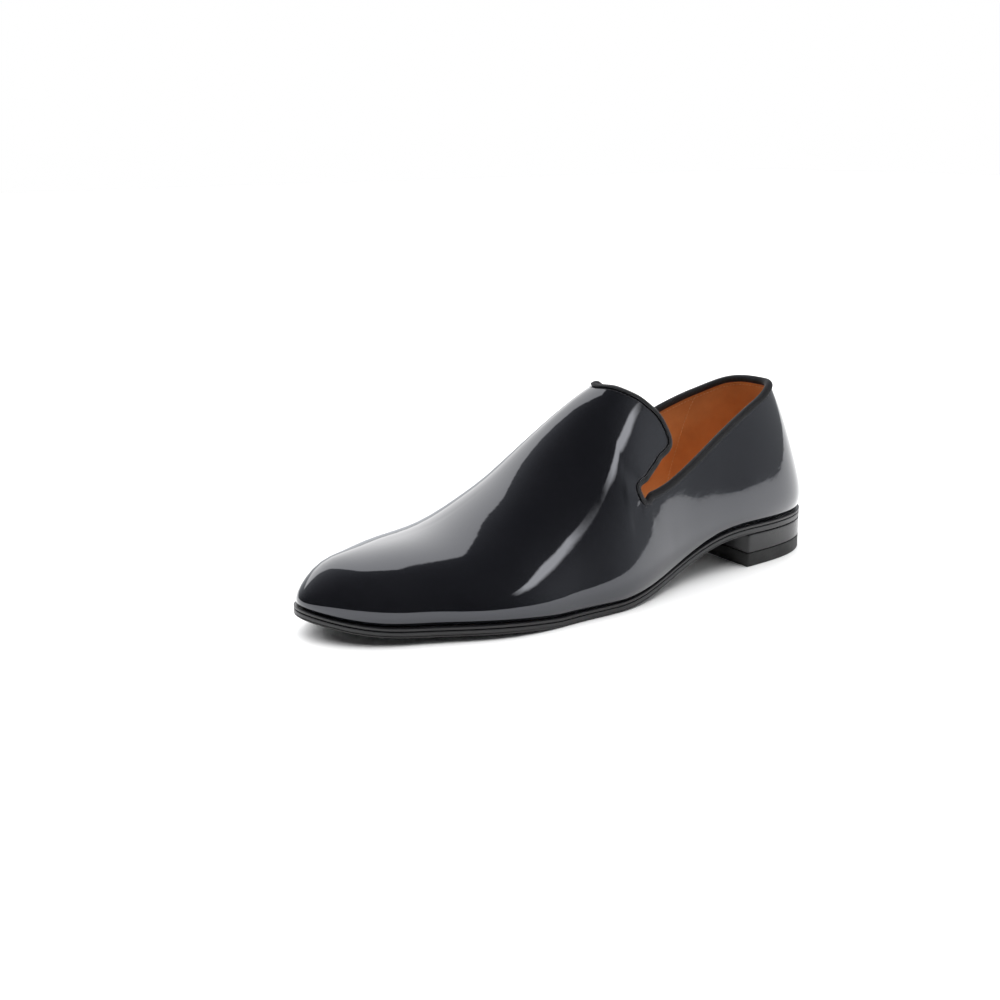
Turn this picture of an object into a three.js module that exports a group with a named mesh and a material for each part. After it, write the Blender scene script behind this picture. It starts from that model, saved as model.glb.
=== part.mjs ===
// Left loafer, one shoe, in millimetres. +X runs to the toe, +Y to the outer side
// of the foot, +Z up. The tread and the top lift stand on z = 0, and the origin is
// the middle of the footprint. Built as a maker builds it: upper on insole and welt,
// outsole, heel block and top lift, with a folded ribbon bound over the collar.
import * as THREE from 'three';

// Sizes of the shoe
const SHOE_LENGTH = 298; // outsole, heel back to toe tip
const BALL_WIDTH = 97; // last, across the ball at the feather line
const INSTEP_HEIGHT = 90.5; // crown of the instep above the feather line, halfway
const HEEL_RISE = 17.2; // how much higher the heel seat lies than the tread
const TOE_SPRING = 9.6; // rise of the toe tip above the tread
const UPPER_WALL = 2; // patent leather, interlining and lining together
const WALL_BULGE = 2.5; // how far the wall swells out past the feather line
const BULGE_HEIGHT = 10; // height of the fullest line of that swell
const HEEL_FAN = 60; // centre of the round heel, from the heel back
const TOE_FAN = 43; // centre of the round toe, from the toe tip
const FAN_EASE = 10; // softness of the change from straight to fanned profiles

// Sizes of the bottom
const WELT_REVEAL = 2; // welt and sole edge showing beyond the upper
const WELT_DEPTH = 8; // width of the welt strip inside the feather line
const WELT_THICKNESS = 1.5;
const OUTSOLE_THICKNESS = 3;
const EDGE_GROOVE = 0.3; // depth of the groove round the sole edge
const EDGE_CHAMFER = 0.7;
const INSOLE_THICKNESS = 3;
const INSOLE_CHAMFER = 0.6;
const HEEL_LENGTH = 59; // heel back to the straight breast
const TOP_LIFT_HEIGHT = 7.4;
const LIFT_CHAMFER = 0.4;
const TREAD_EASE = 1; // how softly the sole leaves the ground

// Sizes of the collar ribbon
const RIBBON_THICKNESS = 0.6;
const RIBBON_DEPTH = 2.1; // how far each leg reaches down the wall

const FIT_GAP = 0.3; // between any two pieces that touch
const WALL_ROWS = 13; // rings from the feather line to the collar
const TURN_ROW = 8; // the ring where the ribs turn to the collar
const HEEL_STEPS = 14; // outline points from heel back to breast on each side

// The last, a row for each section from heel back (0) to toe tip (1).
// width: share of BALL_WIDTH. swing: centre line toward the outer side, share of
// half BALL_WIDTH. heel, toe: shares of HEEL_RISE and TOE_SPRING. crown: ridge above
// the feather line, share of INSTEP_HEIGHT. lean: ridge toward the outer side, share
// of half BALL_WIDTH. shoulder and arch: exponents of the section's curve. bulge:
// share of WALL_BULGE. reveal: share of WELT_REVEAL.
const LAST = [
  { station: 0.0, width: 0.0, swing: -0.02, heel: 1.0, toe: 0, crown: 1.057, lean: 0,
    shoulder: 1.55, arch: 2.0, bulge: 0.96, reveal: 0.9 },
  { station: 0.06, width: 0.53, swing: -0.03, heel: 1.013, toe: 0, crown: 1.087, lean: -0.01,
    shoulder: 1.7, arch: 2.0, bulge: 1.0, reveal: 0.95 },
  { station: 0.14, width: 0.665, swing: -0.055, heel: 1.022, toe: 0, crown: 1.1, lean: -0.025,
    shoulder: 1.8, arch: 2.0, bulge: 1.0, reveal: 1.05 },
  { station: 0.25, width: 0.7, swing: -0.045, heel: 0.965, toe: 0, crown: 1.076, lean: -0.04,
    shoulder: 1.82, arch: 2.0, bulge: 0.92, reveal: 0.8 },
  { station: 0.38, width: 0.67, swing: 0.12, heel: 0.42, toe: 0, crown: 1.083, lean: -0.07,
    shoulder: 1.74, arch: 2.0, bulge: 0.9, reveal: 0.25 },
  { station: 0.5, width: 0.79, swing: 0.19, heel: 0.044, toe: 0, crown: 1.0, lean: -0.12,
    shoulder: 1.62, arch: 2.0, bulge: 1.0, reveal: 0.45 },
  { station: 0.6, width: 0.92, swing: 0.06, heel: 0, toe: -0.07, crown: 0.734, lean: -0.11,
    shoulder: 1.6, arch: 2.05, bulge: 1.04, reveal: 0.75 },
  { station: 0.68, width: 0.97, swing: 0.015, heel: 0, toe: 0.153, crown: 0.535, lean: -0.1,
    shoulder: 1.66, arch: 2.1, bulge: 1.06, reveal: 0.92 },
  { station: 0.76, width: 0.935, swing: -0.05, heel: 0, toe: 0.308, crown: 0.386, lean: -0.08,
    shoulder: 1.78, arch: 2.16, bulge: 1.04, reveal: 1.02 },
  { station: 0.84, width: 0.785, swing: -0.115, heel: 0, toe: 0.38, crown: 0.333, lean: -0.05,
    shoulder: 1.98, arch: 2.26, bulge: 1.0, reveal: 1.08 },
  { station: 0.91, width: 0.605, swing: -0.12, heel: 0, toe: 0.492, crown: 0.3, lean: -0.03,
    shoulder: 2.1, arch: 2.33, bulge: 0.88, reveal: 1.0 },
  { station: 0.96, width: 0.39, swing: -0.13, heel: 0, toe: 0.715, crown: 0.256, lean: -0.01,
    shoulder: 2.15, arch: 2.37, bulge: 0.76, reveal: 0.9 },
  { station: 1.0, width: 0.0, swing: -0.17, heel: 0, toe: 0.995, crown: 0.136, lean: 0,
    shoulder: 2.2, arch: 2.4, bulge: 0.64, reveal: 0.8 },
];

// The collar, a row for each point from heel back round the notch and the tongue's
// corner to the tongue's peak. station: as in LAST. outer, inner: share of the way up
// the section on each side of the foot. foot: station of the feather line below it.
// way, climb: station and share up the section, on the outer side, where the rib from
// the foot turns to the collar. ribs: how many ribs run from here to the next row.
const COLLAR = [
  { station: 0, outer: 0.551, inner: 0.551, foot: 0, way: 0, climb: 0.3, ribs: 4 },
  { station: 0.058, outer: 0.521, inner: 0.516, foot: 0.05, way: 0.054, climb: 0.28, ribs: 4 },
  { station: 0.15, outer: 0.45, inner: 0.446, foot: 0.14, way: 0.146, climb: 0.24, ribs: 3 },
  { station: 0.26, outer: 0.364, inner: 0.39, foot: 0.246, way: 0.253, climb: 0.19, ribs: 3 },
  { station: 0.36, outer: 0.325, inner: 0.36, foot: 0.352, way: 0.357, climb: 0.2, ribs: 3 },
  { station: 0.43, outer: 0.342, inner: 0.353, foot: 0.426, way: 0.43, climb: 0.22, ribs: 3 },
  { station: 0.455, outer: 0.357, inner: 0.375, foot: 0.468, way: 0.462, climb: 0.27, ribs: 4 },
  { station: 0.458, outer: 0.378, inner: 0.391, foot: 0.5, way: 0.475, climb: 0.36, ribs: 3 },
  { station: 0.4365, outer: 0.4, inner: 0.408, foot: 0.53, way: 0.484, climb: 0.42, ribs: 3 },
  { station: 0.401, outer: 0.4275, inner: 0.434, foot: 0.565, way: 0.486, climb: 0.475, ribs: 4 },
  { station: 0.3665, outer: 0.479, inner: 0.484, foot: 0.62, way: 0.484, climb: 0.56, ribs: 5 },
  { station: 0.3745, outer: 0.547, inner: 0.547, foot: 0.68, way: 0.482, climb: 0.65, ribs: 5 },
  { station: 0.403, outer: 0.68, inner: 0.68, foot: 0.77, way: 0.485, climb: 0.74, ribs: 6 },
  { station: 0.441, outer: 0.845, inner: 0.845, foot: 0.88, way: 0.5, climb: 0.85, ribs: 10 },
  { station: 0.4638, outer: 1, inner: 1, foot: 1, way: 0.53, climb: 1, ribs: 0 },
];

// A natural cubic through a table column, straight beyond its ends.
function curveThrough(xs, ys) {
  const n = xs.length;
  const bend = new Array(n).fill(0);
  const sub = new Array(n).fill(0);
  const rhs = new Array(n).fill(0);
  for (let i = 1; i < n - 1; i += 1) {
    const a = xs[i] - xs[i - 1];
    const b = xs[i + 1] - xs[i];
    const slope = (ys[i + 1] - ys[i]) / b - (ys[i] - ys[i - 1]) / a;
    const pivot = 2 * (a + b) - a * sub[i - 1];
    sub[i] = b / pivot;
    rhs[i] = (6 * slope - a * rhs[i - 1]) / pivot;
  }
  for (let i = n - 2; i > 0; i -= 1) bend[i] = rhs[i] - sub[i] * bend[i + 1];
  const first = (ys[1] - ys[0]) / (xs[1] - xs[0]) - (bend[1] * (xs[1] - xs[0])) / 6;
  const wide = xs[n - 1] - xs[n - 2];
  const final = (ys[n - 1] - ys[n - 2]) / wide + (bend[n - 2] * wide) / 6;
  return (x) => {
    if (x <= xs[0]) return ys[0] + first * (x - xs[0]);
    if (x >= xs[n - 1]) return ys[n - 1] + final * (x - xs[n - 1]);
    let i = 0;
    while (x > xs[i + 1]) i += 1;
    const h = xs[i + 1] - xs[i];
    const a = xs[i + 1] - x;
    const b = x - xs[i];
    const cubic = (bend[i] * a * a * a + bend[i + 1] * b * b * b) / (6 * h);
    const left = (ys[i] / h - (bend[i] * h) / 6) * a;
    const right = (ys[i + 1] / h - (bend[i + 1] * h) / 6) * b;
    return cubic + left + right;
  };
}

const stations = LAST.map((row) => row.station);
const column = (name, size) => curveThrough(stations, LAST.map((row) => row[name] * size));
const turnOf = (station) => Math.acos(1 - 2 * station) / Math.PI;

const halfBall = BALL_WIDTH / 2;
const halfWidth = curveThrough(
  stations.map(turnOf),
  LAST.map((row) => row.width * halfBall),
);
const swing = column('swing', halfBall);
const heelPart = column('heel', HEEL_RISE + TREAD_EASE);
const toePart = column('toe', TOE_SPRING + TREAD_EASE);
const crown = column('crown', INSTEP_HEIGHT);
const lean = column('lean', halfBall);
const shoulder = column('shoulder', 1);
const arch = column('arch', 1);
const bulge = column('bulge', WALL_BULGE);
const reveal = column('reveal', WELT_REVEAL);

const featherBack = LAST[0].reveal * WELT_REVEAL;
const featherTip = SHOE_LENGTH - LAST[LAST.length - 1].reveal * WELT_REVEAL;
const featherLength = featherTip - featherBack;
const shareAt = (x) => (x - featherBack) / featherLength;

const stack = OUTSOLE_THICKNESS + FIT_GAP + WELT_THICKNESS + FIT_GAP;

// Height of the sole's underside at x: flat under the ball, raised at heel and toe.
function treadLift(x) {
  const raw = heelPart(shareAt(x)) + toePart(shareAt(x));
  return raw > 0 ? (raw * raw) / (raw + TREAD_EASE) : 0;
}
const seat = (x) => treadLift(x) + stack;

// A point of the feather line. turn goes from 0 at the heel to 1 at the toe, and
// side is 1 on the outer side of the foot and -1 on the inner side.
function outline(turn, side) {
  const x = featherBack + (featherLength * (1 - Math.cos(Math.PI * turn))) / 2;
  return { x, y: swing(shareAt(x)) + side * halfWidth(turn) };
}

function outward(turn, side) {
  const a = outline(Math.max(0, turn - 0.001), side);
  const b = outline(Math.min(1, turn + 0.001), side);
  const size = Math.hypot(b.x - a.x, b.y - a.y);
  return { x: (-(b.y - a.y) / size) * side, y: ((b.x - a.x) / size) * side };
}

function offsetOutline(turn, side, distance) {
  const p = outline(turn, side);
  const n = outward(turn, side);
  return { x: p.x + n.x * distance, y: p.y + n.y * distance };
}

// Where the section that starts at x meets the ridge: straight across amidships,
// gathered to a fan round the heel and the toe.
function ridgeX(x) {
  const back = HEEL_FAN + FAN_EASE * Math.log1p(Math.exp((x - HEEL_FAN) / FAN_EASE));
  const front = SHOE_LENGTH - TOE_FAN;
  return front - FAN_EASE * Math.log1p(Math.exp((front - back) / FAN_EASE));
}

// The outside of the upper. rise goes from 0 at the feather line to 1 at the ridge.
function skin(turn, rise, side) {
  const foot = outline(turn, side);
  const n = outward(turn, side);
  const share = shareAt(foot.x);
  const cx = ridgeX(foot.x);
  const cy = swing(shareAt(cx)) + lean(shareAt(cx));
  const angle = (rise * Math.PI) / 2;
  const across = 1 - Math.cos(angle);
  const x = foot.x + (cx - foot.x) * across;
  const y = foot.y + (cy - foot.y) * across;
  const up = (1 - Math.cos(angle) ** arch(share)) ** (1 / shoulder(share));
  const low = seat(foot.x);
  const high = seat(x) + crown(shareAt(x));
  const z = low + (high - low) * up;
  const level = (z - low) / BULGE_HEIGHT;
  const swell = bulge(share) * level * Math.exp(1 - level);
  return new THREE.Vector3(x + n.x * swell, y + n.y * swell, z);
}

// The foot laid out flat and straight, where the ribs of the upper are straight lines.
function layout(turn, rise, side) {
  const foot = outline(turn, side);
  return {
    x: foot.x + (ridgeX(foot.x) - foot.x) * rise,
    y: side * halfWidth(turn) * (1 - rise),
  };
}

// The turn, rise and side of a point of that layout.
function fromLayout(p) {
  const side = p.y < 0 ? -1 : 1;
  const y = Math.abs(p.y);
  const ends = [featherBack, ridgeX(featherBack), ridgeX(featherTip), featherTip];
  if (y < 1e-7 && p.x <= ends[1]) {
    return { turn: 0, rise: (p.x - ends[0]) / (ends[1] - ends[0]), side };
  }
  if (y < 1e-7 && p.x >= ends[2]) {
    return { turn: 1, rise: (ends[3] - p.x) / (ends[3] - ends[2]), side };
  }
  const riseAt = (turn) => Math.max(0, 1 - y / Math.max(halfWidth(turn), 1e-9));
  let low = 0;
  let high = 1;
  for (let i = 0; i < 48; i += 1) {
    const turn = (low + high) / 2;
    if (layout(turn, riseAt(turn), 1).x > p.x) high = turn;
    else low = turn;
  }
  const turn = (low + high) / 2;
  return { turn, rise: riseAt(turn), side };
}

// A smooth closed curve through points, with steps[i] points from point i onward.
function closedCurve(points, steps) {
  const n = points.length;
  const at = (i) => points[(i + n) % n];
  const span = points.map((p, i) => Math.hypot(at(i + 1).x - p.x, at(i + 1).y - p.y));
  const slope = points.map((p, i) => {
    const a = span[(i - 1 + n) % n];
    const b = span[i];
    const along = (axis) => {
      const before = (p[axis] - at(i - 1)[axis]) / a;
      const after = (at(i + 1)[axis] - p[axis]) / b;
      return (before * b + after * a) / (a + b);
    };
    return { x: along('x'), y: along('y') };
  });
  const out = [];
  for (let i = 0; i < n; i += 1) {
    const h = span[i];
    for (let k = 0; k < steps[i]; k += 1) {
      const s = k / steps[i];
      const w0 = 1 - 3 * s * s + 2 * s * s * s;
      const w1 = h * s * (1 - s) * (1 - s);
      const w2 = h * s * s * (s - 1);
      const blend = (axis) =>
        w0 * at(i)[axis] + (1 - w0) * at(i + 1)[axis] +
        w1 * slope[i][axis] + w2 * slope[(i + 1) % n][axis];
      out.push({ x: blend('x'), y: blend('y') });
    }
  }
  return out;
}

// The collar's rows round the whole shoe: up the outer side, back down the inner side.
function collarRows() {
  const last = COLLAR.length - 1;
  const spot = (row, side, ribs) => {
    const lower = side < 0 ? row.inner - row.outer : 0;
    return {
      rim: layout(turnOf(row.station), side < 0 ? row.inner : row.outer, side),
      way: layout(turnOf(row.way), row.climb + lower, side),
      foot: side < 0 ? 2 - turnOf(row.foot) : turnOf(row.foot),
      ribs,
    };
  };
  const up = COLLAR.slice(0, last).map((row) => spot(row, 1, row.ribs));
  const down = COLLAR.slice(1).reverse().map((row, i) => spot(row, -1, COLLAR[last - 1 - i].ribs));
  return [...up, ...down];
}

// The feet of the ribs along the feather line: turn and side, round the whole shoe.
function ribFeet(rows) {
  const feet = [];
  rows.forEach((row, i) => {
    const next = i + 1 < rows.length ? rows[i + 1].foot : 2;
    for (let k = 0; k < row.ribs; k += 1) {
      const round = row.foot + ((next - row.foot) * k) / row.ribs;
      feet.push(round > 1 ? { turn: 2 - round, side: -1 } : { turn: round, side: 1 });
    }
  });
  return feet;
}

const rows = collarRows();
const feet = ribFeet(rows);

// The outside of the upper over a point of the layout, and the way it faces there.
function overLayout(p) {
  const spot = fromLayout(p);
  return skin(spot.turn, spot.rise, spot.side);
}

function facing(p) {
  const step = 0.3;
  const ahead = overLayout({ x: p.x + step, y: p.y }).sub(overLayout({ x: p.x - step, y: p.y }));
  const aside = overLayout({ x: p.x, y: p.y + step }).sub(overLayout({ x: p.x, y: p.y - step }));
  return ahead.cross(aside).normalize();
}

// The ribs of the upper, each from the feather line to the collar, as layout points.
function ribPaths() {
  const steps = rows.map((row) => row.ribs);
  const rim = closedCurve(rows.map((row) => row.rim), steps);
  const way = closedCurve(rows.map((row) => row.way), steps);
  return rim.map((top, k) => {
    const base = layout(feet[k].turn, 0, feet[k].side);
    const path = [];
    for (let j = 0; j <= WALL_ROWS; j += 1) {
      const first = j <= TURN_ROW;
      const [from, to] = first ? [base, way[k]] : [way[k], top];
      const s = first ? (j / TURN_ROW) ** 1.5 : (j - TURN_ROW) / (WALL_ROWS - TURN_ROW);
      path.push({ x: from.x + (to.x - from.x) * s, y: from.y + (to.y - from.y) * s });
    }
    return path;
  });
}

function makeSolid(points, faces) {
  let volume = 0;
  for (const [a, b, c] of faces) {
    const cross = new THREE.Vector3().crossVectors(points[b], points[c]);
    volume += points[a].dot(cross);
  }
  const index = [];
  for (const [a, b, c] of faces) index.push(a, volume < 0 ? c : b, volume < 0 ? b : c);
  const geometry = new THREE.BufferGeometry();
  const flat = [];
  for (const p of points) flat.push(p.x, p.y, p.z);
  geometry.setAttribute('position', new THREE.Float32BufferAttribute(flat, 3));
  geometry.setIndex(index);
  return geometry;
}

// Two triangles for a quad, cut along its shorter diagonal.
function quad(points, a, b, c, d) {
  const short = points[a].distanceTo(points[c]) <= points[b].distanceTo(points[d]);
  return short ? [[a, b, c], [a, c, d]] : [[a, b, d], [b, c, d]];
}

// A tube of closed sections that itself closes round, such as a ring or a channel.
function sweptRing(sections) {
  const n = sections.length;
  const size = sections[0].length;
  const points = sections.flat();
  const faces = [];
  for (let k = 0; k < n; k += 1) {
    const m = (k + 1) % n;
    for (let j = 0; j < size; j += 1) {
      const i = (j + 1) % size;
      faces.push(...quad(points, k * size + j, m * size + j, m * size + i, k * size + i));
    }
  }
  return makeSolid(points, faces);
}

// A solid of stacked loops, lowest first. Each loop runs up the outer side and back
// down the inner side, so that its two ends are closed by straight cross strips.
function stackedSolid(loops) {
  const size = loops[0].length;
  const points = loops.flat();
  const faces = [];
  for (let i = 0; i + 1 < loops.length; i += 1) {
    for (let j = 0; j < size; j += 1) {
      const k = (j + 1) % size;
      const low = i * size;
      faces.push(...quad(points, low + j, low + k, low + size + k, low + size + j));
    }
  }
  const half = Math.floor(size / 2);
  const cap = (start, up) => {
    for (let j = 0; j < half; j += 1) {
      const a = start + j;
      const b = start + j + 1;
      const c = start + ((size - j - 1) % size);
      const d = start + ((size - j) % size);
      const cells = quad(points, a, b, c, d);
      for (const [p, q, r] of cells) {
        if (p !== q && q !== r && r !== p) faces.push(up ? [p, q, r] : [p, r, q]);
      }
    }
  };
  cap(0, false);
  cap((loops.length - 1) * size, true);
  return makeSolid(points, faces);
}

// A whole outline, moved out by distance(share), at the height level(x).
function soleLoop(distance, level) {
  return feet.map(({ turn, side }) => {
    const p = offsetOutline(turn, side, distance(shareAt(outline(turn, side).x)));
    return new THREE.Vector3(p.x, p.y, level(p.x));
  });
}

// The outline from the heel back to the straight breast, the same way round.
function heelLoop(inset, level) {
  const edge = (turn, side) => {
    const share = shareAt(outline(turn, side).x);
    return offsetOutline(turn, side, reveal(share) - inset);
  };
  const breast = HEEL_LENGTH - inset;
  const lastTurn = (side) => {
    let low = 0;
    let high = 0.6;
    for (let i = 0; i < 40; i += 1) {
      const turn = (low + high) / 2;
      if (edge(turn, side).x < breast) low = turn;
      else high = turn;
    }
    return (low + high) / 2;
  };
  const loop = [];
  for (const side of [1, -1]) {
    const end = lastTurn(side);
    const half = [];
    for (let i = side > 0 ? 0 : 1; i <= HEEL_STEPS; i += 1) {
      const p = edge((end * i) / HEEL_STEPS, side);
      half.push(new THREE.Vector3(p.x, p.y, level(p.x)));
    }
    loop.push(...(side > 0 ? half : half.reverse()));
  }
  return loop;
}

// Upper: one wall of even thickness, open at the collar and underneath.
function buildUpper(ribs, normals) {
  const size = WALL_ROWS + 1;
  const inner = ribs.map((rib, k) => rib.map((p, j) => {
    const n = normals[k][j].clone();
    if (j === 0) n.setZ(0).normalize();
    const q = p.clone().addScaledVector(n, -UPPER_WALL);
    if (j === 0) q.z = seat(q.x);
    return q;
  }));
  const points = [...ribs.flat(), ...inner.flat()];
  const faces = [];
  const inside = ribs.length * size;
  for (let k = 0; k < ribs.length; k += 1) {
    const m = (k + 1) % ribs.length;
    for (let j = 0; j < WALL_ROWS; j += 1) {
      const [a, b] = [k * size + j, m * size + j];
      faces.push(...quad(points, a, b, b + 1, a + 1));
      faces.push(...quad(points, inside + b, inside + a, inside + a + 1, inside + b + 1));
    }
    const [a, b] = [k * size, m * size];
    faces.push(...quad(points, inside + a, inside + b, b, a));
    const [c, d] = [a + WALL_ROWS, b + WALL_ROWS];
    faces.push(...quad(points, c, d, inside + d, inside + c));
  }
  return makeSolid(points, faces);
}

// Topline binding: a ribbon folded over the raw edge of the upper.
function buildBinding(ribs, normals) {
  const outerFace = FIT_GAP + RIBBON_THICKNESS;
  const innerFace = -UPPER_WALL - FIT_GAP - RIBBON_THICKNESS;
  const top = FIT_GAP + RIBBON_THICKNESS;
  const section = [
    [outerFace, -RIBBON_DEPTH],
    [outerFace, top],
    [innerFace, top],
    [innerFace, -RIBBON_DEPTH],
    [innerFace + RIBBON_THICKNESS, -RIBBON_DEPTH],
    [innerFace + RIBBON_THICKNESS, FIT_GAP],
    [FIT_GAP, FIT_GAP],
    [FIT_GAP, -RIBBON_DEPTH],
  ];
  const n = ribs.length;
  const sections = ribs.map((rib, k) => {
    const edge = rib[WALL_ROWS];
    const before = ribs[(k - 1 + n) % n][WALL_ROWS];
    const after = ribs[(k + 1) % n][WALL_ROWS];
    const along = new THREE.Vector3().subVectors(after, before).normalize();
    const out = normals[k][WALL_ROWS].clone();
    out.addScaledVector(along, -out.dot(along)).normalize();
    const up = new THREE.Vector3().crossVectors(along, out).normalize();
    return section.map(([a, b]) => edge.clone().addScaledVector(out, a).addScaledVector(up, b));
  });
  return sweptRing(sections);
}

function buildInsole() {
  const inset = UPPER_WALL + FIT_GAP;
  return stackedSolid([
    soleLoop(() => -inset, (x) => seat(x)),
    soleLoop(() => -inset, (x) => seat(x) + INSOLE_THICKNESS - INSOLE_CHAMFER),
    soleLoop(() => -inset - INSOLE_CHAMFER, (x) => seat(x) + INSOLE_THICKNESS),
  ]);
}

const weltTop = (x) => seat(x) - FIT_GAP;
const weltLow = (x) => weltTop(x) - WELT_THICKNESS;
const soleTop = (x) => weltLow(x) - FIT_GAP;

function buildWelt() {
  const loops = [
    soleLoop(reveal, weltTop),
    soleLoop(reveal, weltLow),
    soleLoop(() => -WELT_DEPTH, weltLow),
    soleLoop(() => -WELT_DEPTH, weltTop),
  ];
  return sweptRing(loops[0].map((_, i) => loops.map((loop) => loop[i])));
}

// Outsole: leather, with a chamfered tread edge and a groove round its side.
function buildOutsole() {
  const rings = [
    { inset: EDGE_CHAMFER, height: 0 },
    { inset: 0, height: 0.22 },
    { inset: EDGE_GROOVE, height: 0.34 },
    { inset: 0, height: 0.46 },
    { inset: 0, height: 1 },
  ];
  return stackedSolid(rings.map((ring) => soleLoop(
    (share) => reveal(share) - ring.inset,
    (x) => soleTop(x) - OUTSOLE_THICKNESS * (1 - ring.height),
  )));
}

function buildHeelBlock() {
  return stackedSolid([
    heelLoop(0, () => TOP_LIFT_HEIGHT + FIT_GAP),
    heelLoop(0, (x) => treadLift(x) - FIT_GAP),
  ]);
}

function buildTopLift() {
  return stackedSolid([
    heelLoop(LIFT_CHAMFER, () => 0),
    heelLoop(0, () => LIFT_CHAMFER),
    heelLoop(0, () => TOP_LIFT_HEIGHT),
  ]);
}

const FINISHES = {
  upper: { color: 0x17181d, roughness: 0.1, metalness: 0 },
  topline_binding: { color: 0x101013, roughness: 0.8, metalness: 0 },
  insole: { color: 0xb8672a, roughness: 0.55, metalness: 0 },
  welt: { color: 0x0c0c0e, roughness: 0.5, metalness: 0 },
  outsole: { color: 0x141416, roughness: 0.42, metalness: 0 },
  heel_block: { color: 0x1c1c1f, roughness: 0.38, metalness: 0 },
  top_lift: { color: 0x101011, roughness: 0.75, metalness: 0 },
};

const paths = ribPaths();
const ribs = paths.map((path) => path.map(overLayout));
const normals = paths.map((path) => path.map(facing));
const geometries = {
  outsole: buildOutsole(),
  welt: buildWelt(),
  heel_block: buildHeelBlock(),
  top_lift: buildTopLift(),
  insole: buildInsole(),
  upper: buildUpper(ribs, normals),
  topline_binding: buildBinding(ribs, normals),
};

const shoe = new THREE.Group();
shoe.name = 'loafer';
const box = new THREE.Box3();
for (const geometry of Object.values(geometries)) {
  geometry.computeBoundingBox();
  box.union(geometry.boundingBox);
}
const middle = box.getCenter(new THREE.Vector3());
for (const [name, geometry] of Object.entries(geometries)) {
  geometry.translate(-middle.x, -middle.y, 0);
  geometry.computeVertexNormals();
  const mesh = new THREE.Mesh(geometry, new THREE.MeshStandardMaterial(FINISHES[name]));
  mesh.name = name;
  shoe.add(mesh);
}

export default shoe;
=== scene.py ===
"""A black patent slip-on loafer for the left foot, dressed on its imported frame.

Shapes are worked out in millimetres from the heel back, +X to the toe, +Y to the
outer side of the foot, and become metres in the row frame when a mesh is made.
"""

from __future__ import annotations

import logging
import math
from collections.abc import Callable
from dataclasses import dataclass, field
from enum import Enum

import bmesh
import bpy
import numpy as np
from mathutils import Matrix, Vector

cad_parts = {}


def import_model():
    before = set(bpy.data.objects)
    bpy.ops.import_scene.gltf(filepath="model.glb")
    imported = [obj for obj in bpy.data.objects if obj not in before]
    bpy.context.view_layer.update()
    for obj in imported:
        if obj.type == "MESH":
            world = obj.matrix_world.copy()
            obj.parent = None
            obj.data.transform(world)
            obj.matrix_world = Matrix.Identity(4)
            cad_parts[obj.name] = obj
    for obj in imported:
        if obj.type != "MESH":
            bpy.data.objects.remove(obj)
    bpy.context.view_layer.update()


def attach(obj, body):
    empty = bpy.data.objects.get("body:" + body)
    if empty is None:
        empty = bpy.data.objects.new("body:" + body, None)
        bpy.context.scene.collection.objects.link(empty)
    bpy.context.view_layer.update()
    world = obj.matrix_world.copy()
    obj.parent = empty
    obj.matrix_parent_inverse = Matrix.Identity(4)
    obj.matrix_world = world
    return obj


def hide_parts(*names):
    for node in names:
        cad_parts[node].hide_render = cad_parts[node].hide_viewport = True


LOG = logging.getLogger("loafer")

# A length or a level in millimetres that changes along the shoe
Profile = Callable[[np.ndarray], np.ndarray]

LAST_COLUMNS = (
    "station", "width", "swing", "heel", "toe", "crown",
    "lean", "shoulder", "arch", "bulge", "reveal",
)
LAST_TABLE = (
    (0.00, 0.000, -0.020, 1.000, 0.000, 1.057, 0.000, 1.55, 2.00, 0.96, 0.90),
    (0.06, 0.530, -0.030, 1.013, 0.000, 1.087, -0.010, 1.70, 2.00, 1.00, 0.95),
    (0.14, 0.665, -0.055, 1.022, 0.000, 1.100, -0.025, 1.80, 2.00, 1.00, 1.05),
    (0.25, 0.700, -0.045, 0.965, 0.000, 1.076, -0.040, 1.82, 2.00, 0.92, 0.80),
    (0.38, 0.670, 0.120, 0.420, 0.000, 1.083, -0.070, 1.74, 2.00, 0.90, 0.25),
    (0.50, 0.790, 0.190, 0.044, 0.000, 1.000, -0.120, 1.62, 2.00, 1.00, 0.45),
    (0.60, 0.920, 0.060, 0.000, -0.070, 0.734, -0.110, 1.60, 2.05, 1.04, 0.75),
    (0.68, 0.970, 0.015, 0.000, 0.153, 0.535, -0.100, 1.66, 2.10, 1.06, 0.92),
    (0.76, 0.935, -0.050, 0.000, 0.308, 0.386, -0.080, 1.78, 2.16, 1.04, 1.02),
    (0.84, 0.785, -0.115, 0.000, 0.380, 0.333, -0.050, 1.98, 2.26, 1.00, 1.08),
    (0.91, 0.605, -0.120, 0.000, 0.492, 0.300, -0.030, 2.10, 2.33, 0.88, 1.00),
    (0.96, 0.390, -0.130, 0.000, 0.715, 0.256, -0.010, 2.15, 2.37, 0.76, 0.90),
    (1.00, 0.000, -0.170, 0.000, 0.995, 0.136, 0.000, 2.20, 2.40, 0.64, 0.80),
)

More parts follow.
